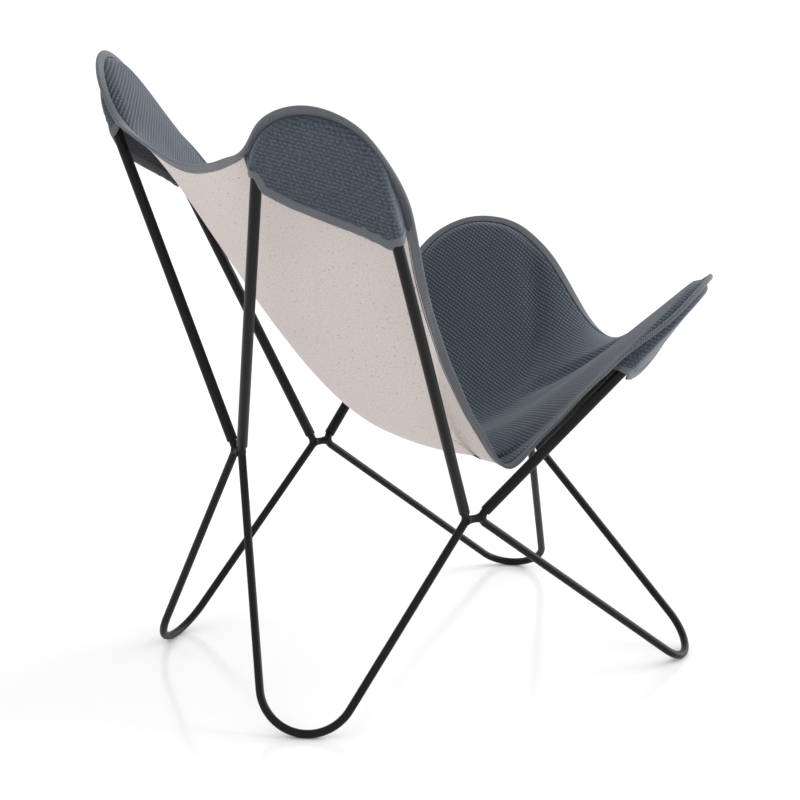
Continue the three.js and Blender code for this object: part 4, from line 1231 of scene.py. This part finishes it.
def make_stitches(context, name, line, normals, closes):
    """A row of stitches along a line: one small stitch made once, copied, and set in place."""
    cloth = context.scene.chair_cloth
    if closes:
        line = np.concatenate((line, line[:1]))
        normals = np.concatenate((normals, normals[:1]))
    lengths = lengths_along(line)
    count = int(lengths[-1] / cloth.stitch_pitch)
    at = (np.arange(count) + 0.5) * lengths[-1] / count
    places = read_along(line, lengths, at)
    ahead = unit(read_along(line, lengths, at + PROBE) - read_along(line, lengths, at - PROBE))
    up = unit(read_along(normals, lengths, at))
    side = unit(np.cross(up, ahead))
    bm = bmesh.new()
    bmesh.ops.create_icosphere(bm, subdivisions=1, radius=1.0)
    corners_each, faces_each = len(bm.verts), len(bm.faces)
    sizes = np.array(
        (cloth.stitch_pitch * STITCH_LENGTH_SHARE, STITCH_HALF_WIDTH, STITCH_HALF_HEIGHT)
    )
    while len(bm.verts) < count * corners_each:
        short = count - len(bm.verts) // corners_each
        faces = bm.faces[:min(short * faces_each, len(bm.faces))]
        verts = {v for face in faces for v in face.verts}
        edges = {e for face in faces for e in face.edges}
        bmesh.ops.duplicate(bm, geom=list(verts) + list(edges) + list(faces))
    piece = new_piece(name, bm, thread_material(context))
    islands = vertex_islands(piece.data, count)
    points = np.array([vert.co for vert in piece.data.vertices])
    frames = np.stack((ahead, side, up), axis=1)
    moved = np.einsum("vi,vij->vj", points * sizes, frames[islands]) + places[islands]
    piece.data.vertices.foreach_set("co", moved.astype(np.float32).ravel())
    piece.data.update()
    finish_piece(piece, "binding_tape")


def vertex_islands(data, count):
    """The number of the stitch that each vertex belongs to."""
    parents = np.arange(len(data.vertices))
    ends = np.zeros(len(data.edges) * 2, np.int32)
    data.edges.foreach_get("vertices", ends)
    ends = ends.reshape(-1, 2)
    for _ in range(ISLAND_ROUNDS):
        low = np.minimum(parents[ends[:, 0]], parents[ends[:, 1]])
        np.minimum.at(parents, ends[:, 0], low)
        np.minimum.at(parents, ends[:, 1], low)
    _, numbers = np.unique(parents, return_inverse=True)
    return np.minimum(numbers, count - 1)


def make_edge_stitches(context):
    shape = current_shape(context)
    cloth = context.scene.chair_cloth
    front, back = shape.tape_offsets(cloth)
    lift = cloth.tape_thickness - STITCH_SINK
    line, normals = shape.places[STITCH_ROW], shape.normals[STITCH_ROW]
    for name, facing, offset in (("front", normals, front), ("back", -normals, back)):
        places = line + facing * (offset + lift)[:, None]
        make_stitches(context, f"edge_stitches_{name}", shape.moved(places), facing, True)


# Materials


class Graph:
    """A material's node tree, with short ways to add nodes and to join them."""

    def __init__(self, name):
        self.material = bpy.data.materials.new(name)
        self.material.use_nodes = True
        self.tree = self.material.node_tree
        self.tree.nodes.clear()

    def node(self, kind, inputs=None, **settings):
        node = self.tree.nodes.new(kind)
        for name, value in settings.items():
            setattr(node, name, value)
        for key, value in (inputs or {}).items():
            self.join(node.inputs[key], value)
        return node

    def join(self, socket, value):
        if isinstance(value, bpy.types.NodeSocket):
            self.tree.links.new(value, socket)
        else:
            socket.default_value = value

    def math(self, operation, *values):
        node = self.node("ShaderNodeMath", operation=operation)
        for socket, value in zip(node.inputs, values):
            self.join(socket, value)
        return node.outputs[0]

    def ramp(self, value, low, high, start=0.0, end=1.0):
        node = self.node(
            "ShaderNodeMapRange",
            {"Value": value, "From Min": low, "From Max": high, "To Min": start, "To Max": end},
            interpolation_type="SMOOTHSTEP",
        )
        return node.outputs["Result"]

    def mix(self, share, first, second):
        node = self.node("ShaderNodeMix", data_type="RGBA")
        self.join(node.inputs[0], share)
        self.join(node.inputs[6], first)
        self.join(node.inputs[7], second)
        return node.outputs[2]

    def noise(self, place, scale, detail=2.0, roughness=0.5):
        inputs = {"Vector": place, "Scale": scale, "Detail": detail, "Roughness": roughness}
        return self.node("ShaderNodeTexNoise", inputs).outputs["Fac"]

    def object_place(self):
        return self.node("ShaderNodeTexCoord").outputs["Object"]

    def uv(self, layer):
        place = self.node("ShaderNodeUVMap", uv_map=layer).outputs["UV"]
        parts = self.node("ShaderNodeSeparateXYZ", {"Vector": place})
        return place, parts.outputs["X"], parts.outputs["Y"]

    def scaled(self, value, factor, base):
        return self.math("ADD", self.math("MULTIPLY", value, factor), base)

    def jittered(self, value, noise, amount):
        """The value, moved up and down by a noise that lies between 0 and 1."""
        move = self.math("MULTIPLY", self.math("SUBTRACT", noise, 0.5), amount)
        return self.math("ADD", value, move)

    def brighten(self, colour, amount):
        node = self.node("ShaderNodeHueSaturation", {"Color": colour, "Value": amount})
        return node.outputs["Color"]

    def bump(self, height, distance, strength):
        inputs = {"Height": height, "Distance": distance, "Strength": strength}
        return self.node("ShaderNodeBump", inputs).outputs["Normal"]

    def surface(self, **inputs):
        shader = self.node("ShaderNodeBsdfPrincipled")
        for name, value in inputs.items():
            self.join(shader.inputs[name.replace("_", " ")], value)
        output = self.node("ShaderNodeOutputMaterial")
        self.tree.links.new(shader.outputs[0], output.inputs["Surface"])
        return self.material


def opaque(colour, factor=1.0, base=0.0):
    return (*(channel * factor + base for channel in colour), 1.0)


def shared_material(name, paint, *details):
    """A material is painted once, and all the pieces that ask for it share it."""
    return bpy.data.materials.get(name) or paint(Graph(name), *details)


def steel_material(name, context):
    return shared_material(f"{name}_coat", paint_steel, context.scene.chair_frame)


def paint_steel(graph, settings):
    """Satin powder coat: a fine grain in the gloss, and slightly paler where it has rubbed."""
    place = graph.object_place()
    grain = graph.noise(place, 900.0, 3.0)
    patches = graph.noise(place, 14.0, 3.0)
    rubbed = graph.ramp(patches, 0.52, 0.75)
    coat = opaque(settings.coat_colour)
    paler = opaque(settings.coat_colour, 1.8, 0.001)
    colour = graph.mix(graph.math("MULTIPLY", rubbed, 0.35), coat, paler)
    gloss = graph.scaled(patches, 0.14, settings.coat_roughness - 0.07)
    return graph.surface(
        Base_Color=colour, Roughness=gloss, Normal=graph.bump(grain, 0.00006, 0.5),
        Specular_IOR_Level=0.20,
    )


def weave_material(context, name="basket_weave", contrast=1.0):
    return shared_material(name, paint_weave, context.scene.chair_cloth, contrast)


def paint_weave(graph, cloth, contrast):
    """Coarse basket weave: rows of slanted pale threads over darker gaps, with loose fibres."""
    thread_length, thread_width = 0.60, 0.29
    place, u, v = graph.uv("Cloth")
    u = graph.jittered(u, graph.noise(place, 9.0, 2.0), 0.010)
    rows = graph.math("DIVIDE", v, cloth.weave_row)
    steps = graph.math("DIVIDE", u, cloth.weave_step)
    row = graph.math("FLOOR", rows)
    shifted = graph.math("ADD", steps, graph.math("MULTIPLY", row, 0.5))
    across = graph.math("SUBTRACT", graph.math("FRACT", shifted), 0.5)
    upward = graph.math("SUBTRACT", graph.math("FRACT", rows), 0.5)
    cosine, sine = (turn(math.radians(cloth.weave_slant)) for turn in (math.cos, math.sin))
    along = graph.math(
        "ADD", graph.math("MULTIPLY", across, cosine), graph.math("MULTIPLY", upward, sine)
    )
    aside = graph.math(
        "SUBTRACT", graph.math("MULTIPLY", upward, cosine), graph.math("MULTIPLY", across, sine)
    )
    far = graph.math("POWER", graph.math("DIVIDE", along, thread_length), 2.0)
    wide = graph.math("POWER", graph.math("DIVIDE", aside, thread_width), 2.0)
    reach = graph.math("SQRT", graph.math("ADD", far, wide))
    thread = graph.ramp(reach, 1.05, 0.40)
    thread = graph.scaled(thread, contrast, 0.4 * (1 - contrast))
    fuzzy = graph.jittered(thread, graph.noise(graph.object_place(), 1100.0, 4.0, 0.7), 0.9)
    fuzzy = graph.jittered(fuzzy, graph.noise(place, 240.0, 3.0, 0.6), 1.1)
    shade = graph.ramp(fuzzy, 0.0, 1.0)
    colour = graph.mix(shade, opaque(cloth.weave_dark), opaque(cloth.weave_light))
    drift = graph.noise(graph.object_place(), 5.0, 3.0)
    streak = graph.noise(place, 60.0, 2.0)
    tone = graph.scaled(streak, 0.18, graph.scaled(drift, 0.34, 0.74))
    normal = graph.bump(fuzzy, cloth.weave_relief, 0.8)
    return graph.surface(
        Base_Color=graph.brighten(colour, tone), Roughness=0.92, Normal=normal,
        Specular_IOR_Level=0.22, Sheen_Weight=0.35, Sheen_Roughness=0.45,
        Sheen_Tint=(0.72, 0.77, 0.84, 1.0),
    )


def lining_material(context):
    return shared_material("seeded_canvas", paint_lining, context.scene.chair_cloth)


def paint_lining(graph, cloth):
    """Plain unbleached canvas: a fine even weave with small dark seed flecks."""
    warp_pitch, weft_pitch = 0.0011, 0.0013
    place, u, v = graph.uv("Cloth")
    ribs_u = graph.math("SINE", graph.math("MULTIPLY", u, 2 * math.pi / warp_pitch))
    ribs_v = graph.math("SINE", graph.math("MULTIPLY", v, 2 * math.pi / weft_pitch))
    threads = graph.math("MULTIPLY", ribs_u, ribs_v)
    slub = graph.noise(place, 330.0, 4.0, 0.65)
    cells = graph.node(
        "ShaderNodeTexVoronoi", {"Vector": place, "Scale": 210.0, "Randomness": 1.0}
    )
    chance = graph.node("ShaderNodeSeparateColor", {"Color": cells.outputs["Color"]})
    rare = graph.math("GREATER_THAN", chance.outputs[0], 0.78)
    size = graph.math("MULTIPLY", chance.outputs[1], 0.12)
    spot = graph.ramp(graph.math("SUBTRACT", cells.outputs["Distance"], size), 0.17, 0.09)
    fleck = graph.math("MULTIPLY", spot, rare)
    fleck = graph.math("MULTIPLY", fleck, graph.ramp(slub, 0.30, 0.5))
    base, shadowed = opaque(cloth.lining_colour), opaque(cloth.lining_colour, 0.82)
    drift = graph.noise(graph.object_place(), 7.0, 3.0)
    colour = graph.mix(graph.ramp(slub, 0.3, 0.7), base, shadowed)
    colour = graph.mix(graph.math("MULTIPLY", fleck, 0.75), colour, (0.16, 0.12, 0.10, 1.0))
    tone = graph.scaled(drift, 0.10, 0.95)
    height = graph.scaled(threads, 0.35, slub)
    return graph.surface(
        Base_Color=graph.brighten(colour, tone), Roughness=0.95,
        Normal=graph.bump(height, 0.00022, 0.7), Specular_IOR_Level=0.2,
        Sheen_Weight=0.12, Sheen_Roughness=0.6,
    )


def tape_material(context):
    return shared_material("ribbed_tape", paint_tape, context.scene.chair_cloth)


def paint_tape(graph, cloth):
    """Ribbed tape: fine ribs that lean across its width."""
    _, length, across = graph.uv("Tape")
    lean = graph.math("MULTIPLY", across, 0.9)
    turn = graph.math("MULTIPLY", graph.math("ADD", length, lean), 2 * math.pi / cloth.rib_pitch)
    rib = graph.scaled(graph.math("SINE", turn), 0.5, 0.5)
    fibre = graph.noise(graph.object_place(), 1300.0, 4.0, 0.7)
    height = graph.math("ADD", graph.math("MULTIPLY", rib, 0.8), graph.math("MULTIPLY", fibre, 0.5))
    shade = graph.ramp(height, 0.1, 1.2)
    colour = graph.mix(shade, opaque(cloth.tape_dark), opaque(cloth.tape_light))
    drift = graph.noise(graph.object_place(), 18.0, 2.0)
    tone = graph.scaled(drift, 0.24, 0.88)
    return graph.surface(
        Base_Color=graph.brighten(colour, tone), Roughness=0.86,
        Normal=graph.bump(height, 0.00028, 0.8), Specular_IOR_Level=0.25,
        Sheen_Weight=0.30, Sheen_Roughness=0.5, Sheen_Tint=(0.75, 0.78, 0.82, 1.0),
    )


def thread_material(context):
    return shared_material("sewing_thread", paint_thread, context.scene.chair_cloth)


def paint_thread(graph, cloth):
    """Twisted sewing thread, a shade darker than the tape."""
    grain = graph.noise(graph.object_place(), 2600.0, 2.0)
    colour = graph.mix(grain, opaque(cloth.tape_dark, 0.8), opaque(cloth.tape_light))
    return graph.surface(
        Base_Color=colour, Roughness=0.7, Normal=graph.bump(grain, 0.0001, 0.5)
    )


def floor_material(context):
    """Pale studio floor: nearly white, with a faint gloss that mirrors the feet."""
    graph = Graph("studio_floor")
    drift = graph.noise(graph.object_place(), 0.8, 2.0)
    tone = graph.scaled(drift, 0.02, 0.99)
    colour = graph.brighten(opaque(context.scene.chair_stage.floor_colour), tone)
    return graph.surface(Base_Color=colour, Roughness=0.16, Specular_IOR_Level=0.30)


# Stage


def make_floor(context):
    bm = bmesh.new()
    bmesh.ops.create_grid(bm, x_segments=1, y_segments=1, size=FLOOR_REACH)
    floor = new_piece("studio_floor", bm, floor_material(context), smooth=False)


def make_world(context):
    """White all round: at full strength where it is seen, and at the dome's strength as light."""
    world = bpy.data.worlds.new("studio_light")
    context.scene.world = world
    world.use_nodes = True
    tree = world.node_tree
    tree.nodes.clear()
    output = tree.nodes.new("ShaderNodeOutputWorld")
    shown, lit = (tree.nodes.new("ShaderNodeBackground") for _ in range(2))
    for node, strength in ((shown, 1.0), (lit, context.scene.chair_stage.dome_strength)):
        node.inputs["Color"].default_value = (1.0, 1.0, 1.0, 1.0)
        node.inputs["Strength"].default_value = strength
    path = tree.nodes.new("ShaderNodeLightPath")
    either = tree.nodes.new("ShaderNodeMath")
    either.operation = "MAXIMUM"
    tree.links.new(path.outputs["Is Camera Ray"], either.inputs[0])
    tree.links.new(path.outputs["Is Transmission Ray"], either.inputs[1])
    blend = tree.nodes.new("ShaderNodeMixShader")
    tree.links.new(either.outputs[0], blend.inputs[0])
    tree.links.new(lit.outputs[0], blend.inputs[1])
    tree.links.new(shown.outputs[0], blend.inputs[2])
    tree.links.new(blend.outputs[0], output.inputs["Surface"])


def make_key_light(context):
    data = bpy.data.lights.new("key_light", "SUN")
    data.energy = context.scene.chair_stage.key_strength
    data.angle = KEY_SPREAD
    lamp = bpy.data.objects.new("key_light", data)
    context.scene.collection.objects.link(lamp)
    lamp.location = KEY_PLACE
    heading = Vector(KEY_TARGET) - Vector(KEY_PLACE)
    lamp.rotation_euler = heading.to_track_quat("-Z", "Y").to_euler()


def make_camera(context):
    place = np.array(CAMERA_PLACE) + current_shape(context).shift
    azimuth, pitch, roll = (math.radians(angle) for angle in CAMERA_ANGLES)
    look = Vector((
        math.cos(azimuth) * math.cos(pitch), math.sin(azimuth) * math.cos(pitch), math.sin(pitch)
    ))
    level = look.cross(Vector((0, 0, 1))).normalized()
    above = level.cross(look)
    right = math.cos(roll) * level + math.sin(roll) * above
    up = math.cos(roll) * above - math.sin(roll) * level
    data = bpy.data.cameras.new("photo_camera")
    data.sensor_width = SENSOR_WIDTH
    data.lens = FOCAL_PIXELS / PHOTO_PIXELS * SENSOR_WIDTH
    data.clip_end = 200.0
    data.dof.use_dof = False
    camera = bpy.data.objects.new("photo_camera", data)
    context.scene.collection.objects.link(camera)
    turn = Matrix((right, up, -look)).transposed().to_4x4()
    camera.matrix_world = Matrix.Translation(Vector(place)) @ turn
    context.scene.camera = camera


# Settings


def length(**settings):
    return bpy.props.FloatProperty(unit="LENGTH", precision=4, **settings)


def colour(**settings):
    return bpy.props.FloatVectorProperty(min=0.0, max=1.0, size=3, subtype="COLOR", **settings)


class ChairFrameSettings(bpy.types.PropertyGroup):
    """Sizes and finish of the steel frame."""

    rod_diameter: length(
        name="Rod diameter", description="Thickness of the leg rods",
        default=0.012, min=0.006, max=0.014,
    )
    tube_diameter: length(
        name="Tube diameter", description="Outside of the hoops that slide over the rods",
        default=0.016, min=0.010, max=0.020,
    )
    tube_wall: length(
        name="Tube wall", description="Thickness of the hoops' wall",
        default=0.0014, min=0.0005, max=0.003,
    )
    bridge_diameter: length(
        name="Bridge diameter", description="Thickness of the welded rods between the legs",
        default=0.0115, min=0.004, max=0.014,
    )
    coat_colour: colour(
        name="Coat colour", description="Colour of the powder coat on the steel",
        default=(0.0026, 0.0026, 0.0028),
    )
    coat_roughness: bpy.props.FloatProperty(
        name="Coat roughness", description="0 is glossy and 1 is matt",
        default=0.42, min=0.05, max=1.0, subtype="FACTOR",
    )


class ChairClothSettings(bpy.types.PropertyGroup):
    """Sizes and colours of the cloth, its weave and its tape."""

    face_thickness: length(
        name="Face thickness", description="Thickness of the sling's upper cloth",
        default=0.0015, min=0.0005, max=0.004,
    )
    lining_thickness: length(
        name="Lining thickness", description="Thickness of the cloth under the sling",
        default=0.0009, min=0.0004, max=0.003,
    )
    pocket_thickness: length(
        name="Pocket thickness", description="Thickness of the cloth of the corner pockets",
        default=0.0014, min=0.0005, max=0.003,
    )
    tape_thickness: length(
        name="Tape thickness", description="Thickness of the tape that binds the edges",
        default=0.0008, min=0.0004, max=0.002,
    )
    tape_width: length(
        name="Tape width", description="Width of the hem tape on either side of the hem",
        default=0.0115, min=0.005, max=0.016,
    )
    stitch_pitch: length(
        name="Stitch pitch", description="Distance from one stitch to the next",
        default=0.0036, min=0.002, max=0.01,
    )
    rib_pitch: length(
        name="Rib pitch", description="Distance between the ribs of the tape",
        default=0.0030, min=0.001, max=0.006,
    )
    weave_row: length(
        name="Weave row", description="Height of one row of the basket weave",
        default=0.0056, min=0.001, max=0.02,
    )
    weave_step: length(
        name="Weave step", description="Width of one thread of the basket weave",
        default=0.0064, min=0.001, max=0.02,
    )
    weave_slant: bpy.props.FloatProperty(
        name="Weave slant", description="How far the pale threads lean, in degrees",
        default=-8.0, min=-80.0, max=80.0,
    )
    weave_relief: length(
        name="Weave relief", description="How far the pale threads stand out",
        default=0.0004, min=0.0, max=0.003,
    )
    weave_light: colour(
        name="Light thread", description="Colour of the raised threads",
        default=(0.100, 0.122, 0.152),
    )
    weave_dark: colour(
        name="Dark thread", description="Colour between the raised threads",
        default=(0.030, 0.038, 0.051),
    )
    lining_colour: colour(
        name="Lining colour", description="Colour of the cloth under the sling",
        default=(0.70, 0.625, 0.60),
    )
    tape_light: colour(
        name="Tape rib", description="Colour of the ribs of the tape",
        default=(0.165, 0.178, 0.192),
    )
    tape_dark: colour(
        name="Tape groove", description="Colour between the ribs of the tape",
        default=(0.052, 0.058, 0.066),
    )


class ChairStageSettings(bpy.types.PropertyGroup):
    """Floor and light round the chair."""

    floor_colour: colour(
        name="Floor colour", description="Colour of the studio floor",
        default=(0.985, 0.985, 0.985),
    )
    dome_strength: bpy.props.FloatProperty(
        name="Dome strength", description="Strength of the light from all round",
        default=0.96, min=0.0, max=5.0,
    )
    key_strength: bpy.props.FloatProperty(
        name="Key strength", description="Strength of the soft main light",
        default=2.2, min=0.0, max=10.0,
    )


# Operators


class CHAIR_OT_legs(bpy.types.Operator):
    """Add the four bent leg rods"""

    bl_idname = "butterfly_chair.add_legs"
    bl_label = "Add Legs"

    def execute(self, context):
        for label, end in CORNERS:
            make_leg(context, label, end)
        return {"FINISHED"}


class CHAIR_OT_hoops(bpy.types.Operator):
    """Add the four bent tubes that hold the sling"""

    bl_idname = "butterfly_chair.add_hoops"
    bl_label = "Add Hoops"

    def execute(self, context):
        for label, end in CORNERS:
            make_hoop(context, label, end)
        return {"FINISHED"}


class CHAIR_OT_bridges(bpy.types.Operator):
    """Add the four welded rods between neighbouring legs"""

    bl_idname = "butterfly_chair.add_bridges"
    bl_label = "Add Bridges"

    def execute(self, context):
        shape = current_shape(context)
        for end in ENDS:
            rods = [(shape.loops[label][f"leg_{end}"], shape.loops[label][f"hoop_{end}"])
                    for label in SIDES]
            make_bridge(context, end, *(shape.moved(mid_bend(*pair)) for pair in rods))
        for label in SIDES:
            rods = [(shape.loops[label][f"leg_{end}"], shape.loops[label][f"hoop_{end}"])
                    for end in ENDS]
            make_bridge(context, label, *(shape.moved(side_bend(*pair)) for pair in rods))
        return {"FINISHED"}


class CHAIR_OT_sling(bpy.types.Operator):
    """Add the sling's face and its lining"""

    bl_idname = "butterfly_chair.add_sling"
    bl_label = "Add Sling"

    def execute(self, context):
        cloth = context.scene.chair_cloth
        make_sling_layer(
            context, "face_cloth", "sling_face", weave_material(context), "face_cloth",
            SEAM_GAP / 2, cloth.face_thickness, GROOVE_DEPTH,
        )
        make_sling_layer(
            context, "lining_cloth", "sling_lining", lining_material(context), "lining_cloth",
            -SEAM_GAP / 2, cloth.lining_thickness, 0.0,
        )
        return {"FINISHED"}


class CHAIR_OT_edge_tape(bpy.types.Operator):
    """Add the tape that binds the sling's edge, with its stitches"""

    bl_idname = "butterfly_chair.add_edge_tape"
    bl_label = "Add Edge Tape"

    def execute(self, context):
        make_edge_tape(context)
        make_edge_stitches(context)
        return {"FINISHED"}


class CHAIR_OT_pockets(bpy.types.Operator):
    """Add the pockets with their hem tapes"""

    bl_idname = "butterfly_chair.add_pockets"
    bl_label = "Add Pockets"

    def execute(self, context):
        for label, end in CORNERS:
            make_pocket(context, label, end)
        return {"FINISHED"}


class CHAIR_OT_declare_cloth(bpy.types.Operator):
    """Adds nothing itself: the sling layers and the pockets have their cut sizes noted when they are
    laid flat
    """

    bl_idname = "butterfly_chair.declare_cloth"
    bl_label = "Note Cloth Sizes"

    def execute(self, context):
        return {"FINISHED"}


class CHAIR_OT_stage(bpy.types.Operator):
    """Add the floor, the light and the camera"""

    bl_idname = "butterfly_chair.add_stage"
    bl_label = "Add Stage"

    def execute(self, context):
        context.scene.view_settings.view_transform = "Standard"
        make_floor(context)
        make_world(context)
        make_key_light(context)
        make_camera(context)
        return {"FINISHED"}


class CHAIR_PT_panel(bpy.types.Panel):
    """Lists the chair's pieces and settings in the 3D view's sidebar."""

    bl_label = "Sling Chair"
    bl_space_type = "VIEW_3D"
    bl_region_type = "UI"
    bl_category = "Sling Chair"

    def draw(self, context):
        layout = self.layout
        for group in (context.scene.chair_frame, context.scene.chair_cloth,
                      context.scene.chair_stage):
            box = layout.box()
            for name in group.bl_rna.properties.keys():
                if name not in ("rna_type", "name"):
                    box.prop(group, name)
        for operator in OPERATORS:
            layout.operator(operator.bl_idname)


SETTINGS = (
    ("chair_frame", ChairFrameSettings),
    ("chair_cloth", ChairClothSettings),
    ("chair_stage", ChairStageSettings),
)
OPERATORS = (
    CHAIR_OT_legs,
    CHAIR_OT_hoops,
    CHAIR_OT_bridges,
    CHAIR_OT_sling,
    CHAIR_OT_edge_tape,
    CHAIR_OT_pockets,
    CHAIR_OT_declare_cloth,
    CHAIR_OT_stage,
)


def register():
    for name, group in SETTINGS:
        bpy.utils.register_class(group)
        setattr(bpy.types.Scene, name, bpy.props.PointerProperty(type=group))
    for operator in OPERATORS:
        bpy.utils.register_class(operator)
    bpy.utils.register_class(CHAIR_PT_panel)


def unregister():
    bpy.utils.unregister_class(CHAIR_PT_panel)
    for operator in reversed(OPERATORS):
        bpy.utils.unregister_class(operator)
    for name, group in reversed(SETTINGS):
        delattr(bpy.types.Scene, name)
        bpy.utils.unregister_class(group)


def main():
    register()
    chair = bpy.ops.butterfly_chair
    chair.add_legs()
    chair.add_hoops()
    chair.add_bridges()
    chair.add_sling()
    chair.add_edge_tape()
    chair.add_pockets()
    chair.declare_cloth()
    chair.add_stage()


if __name__ == "__main__":
    main()
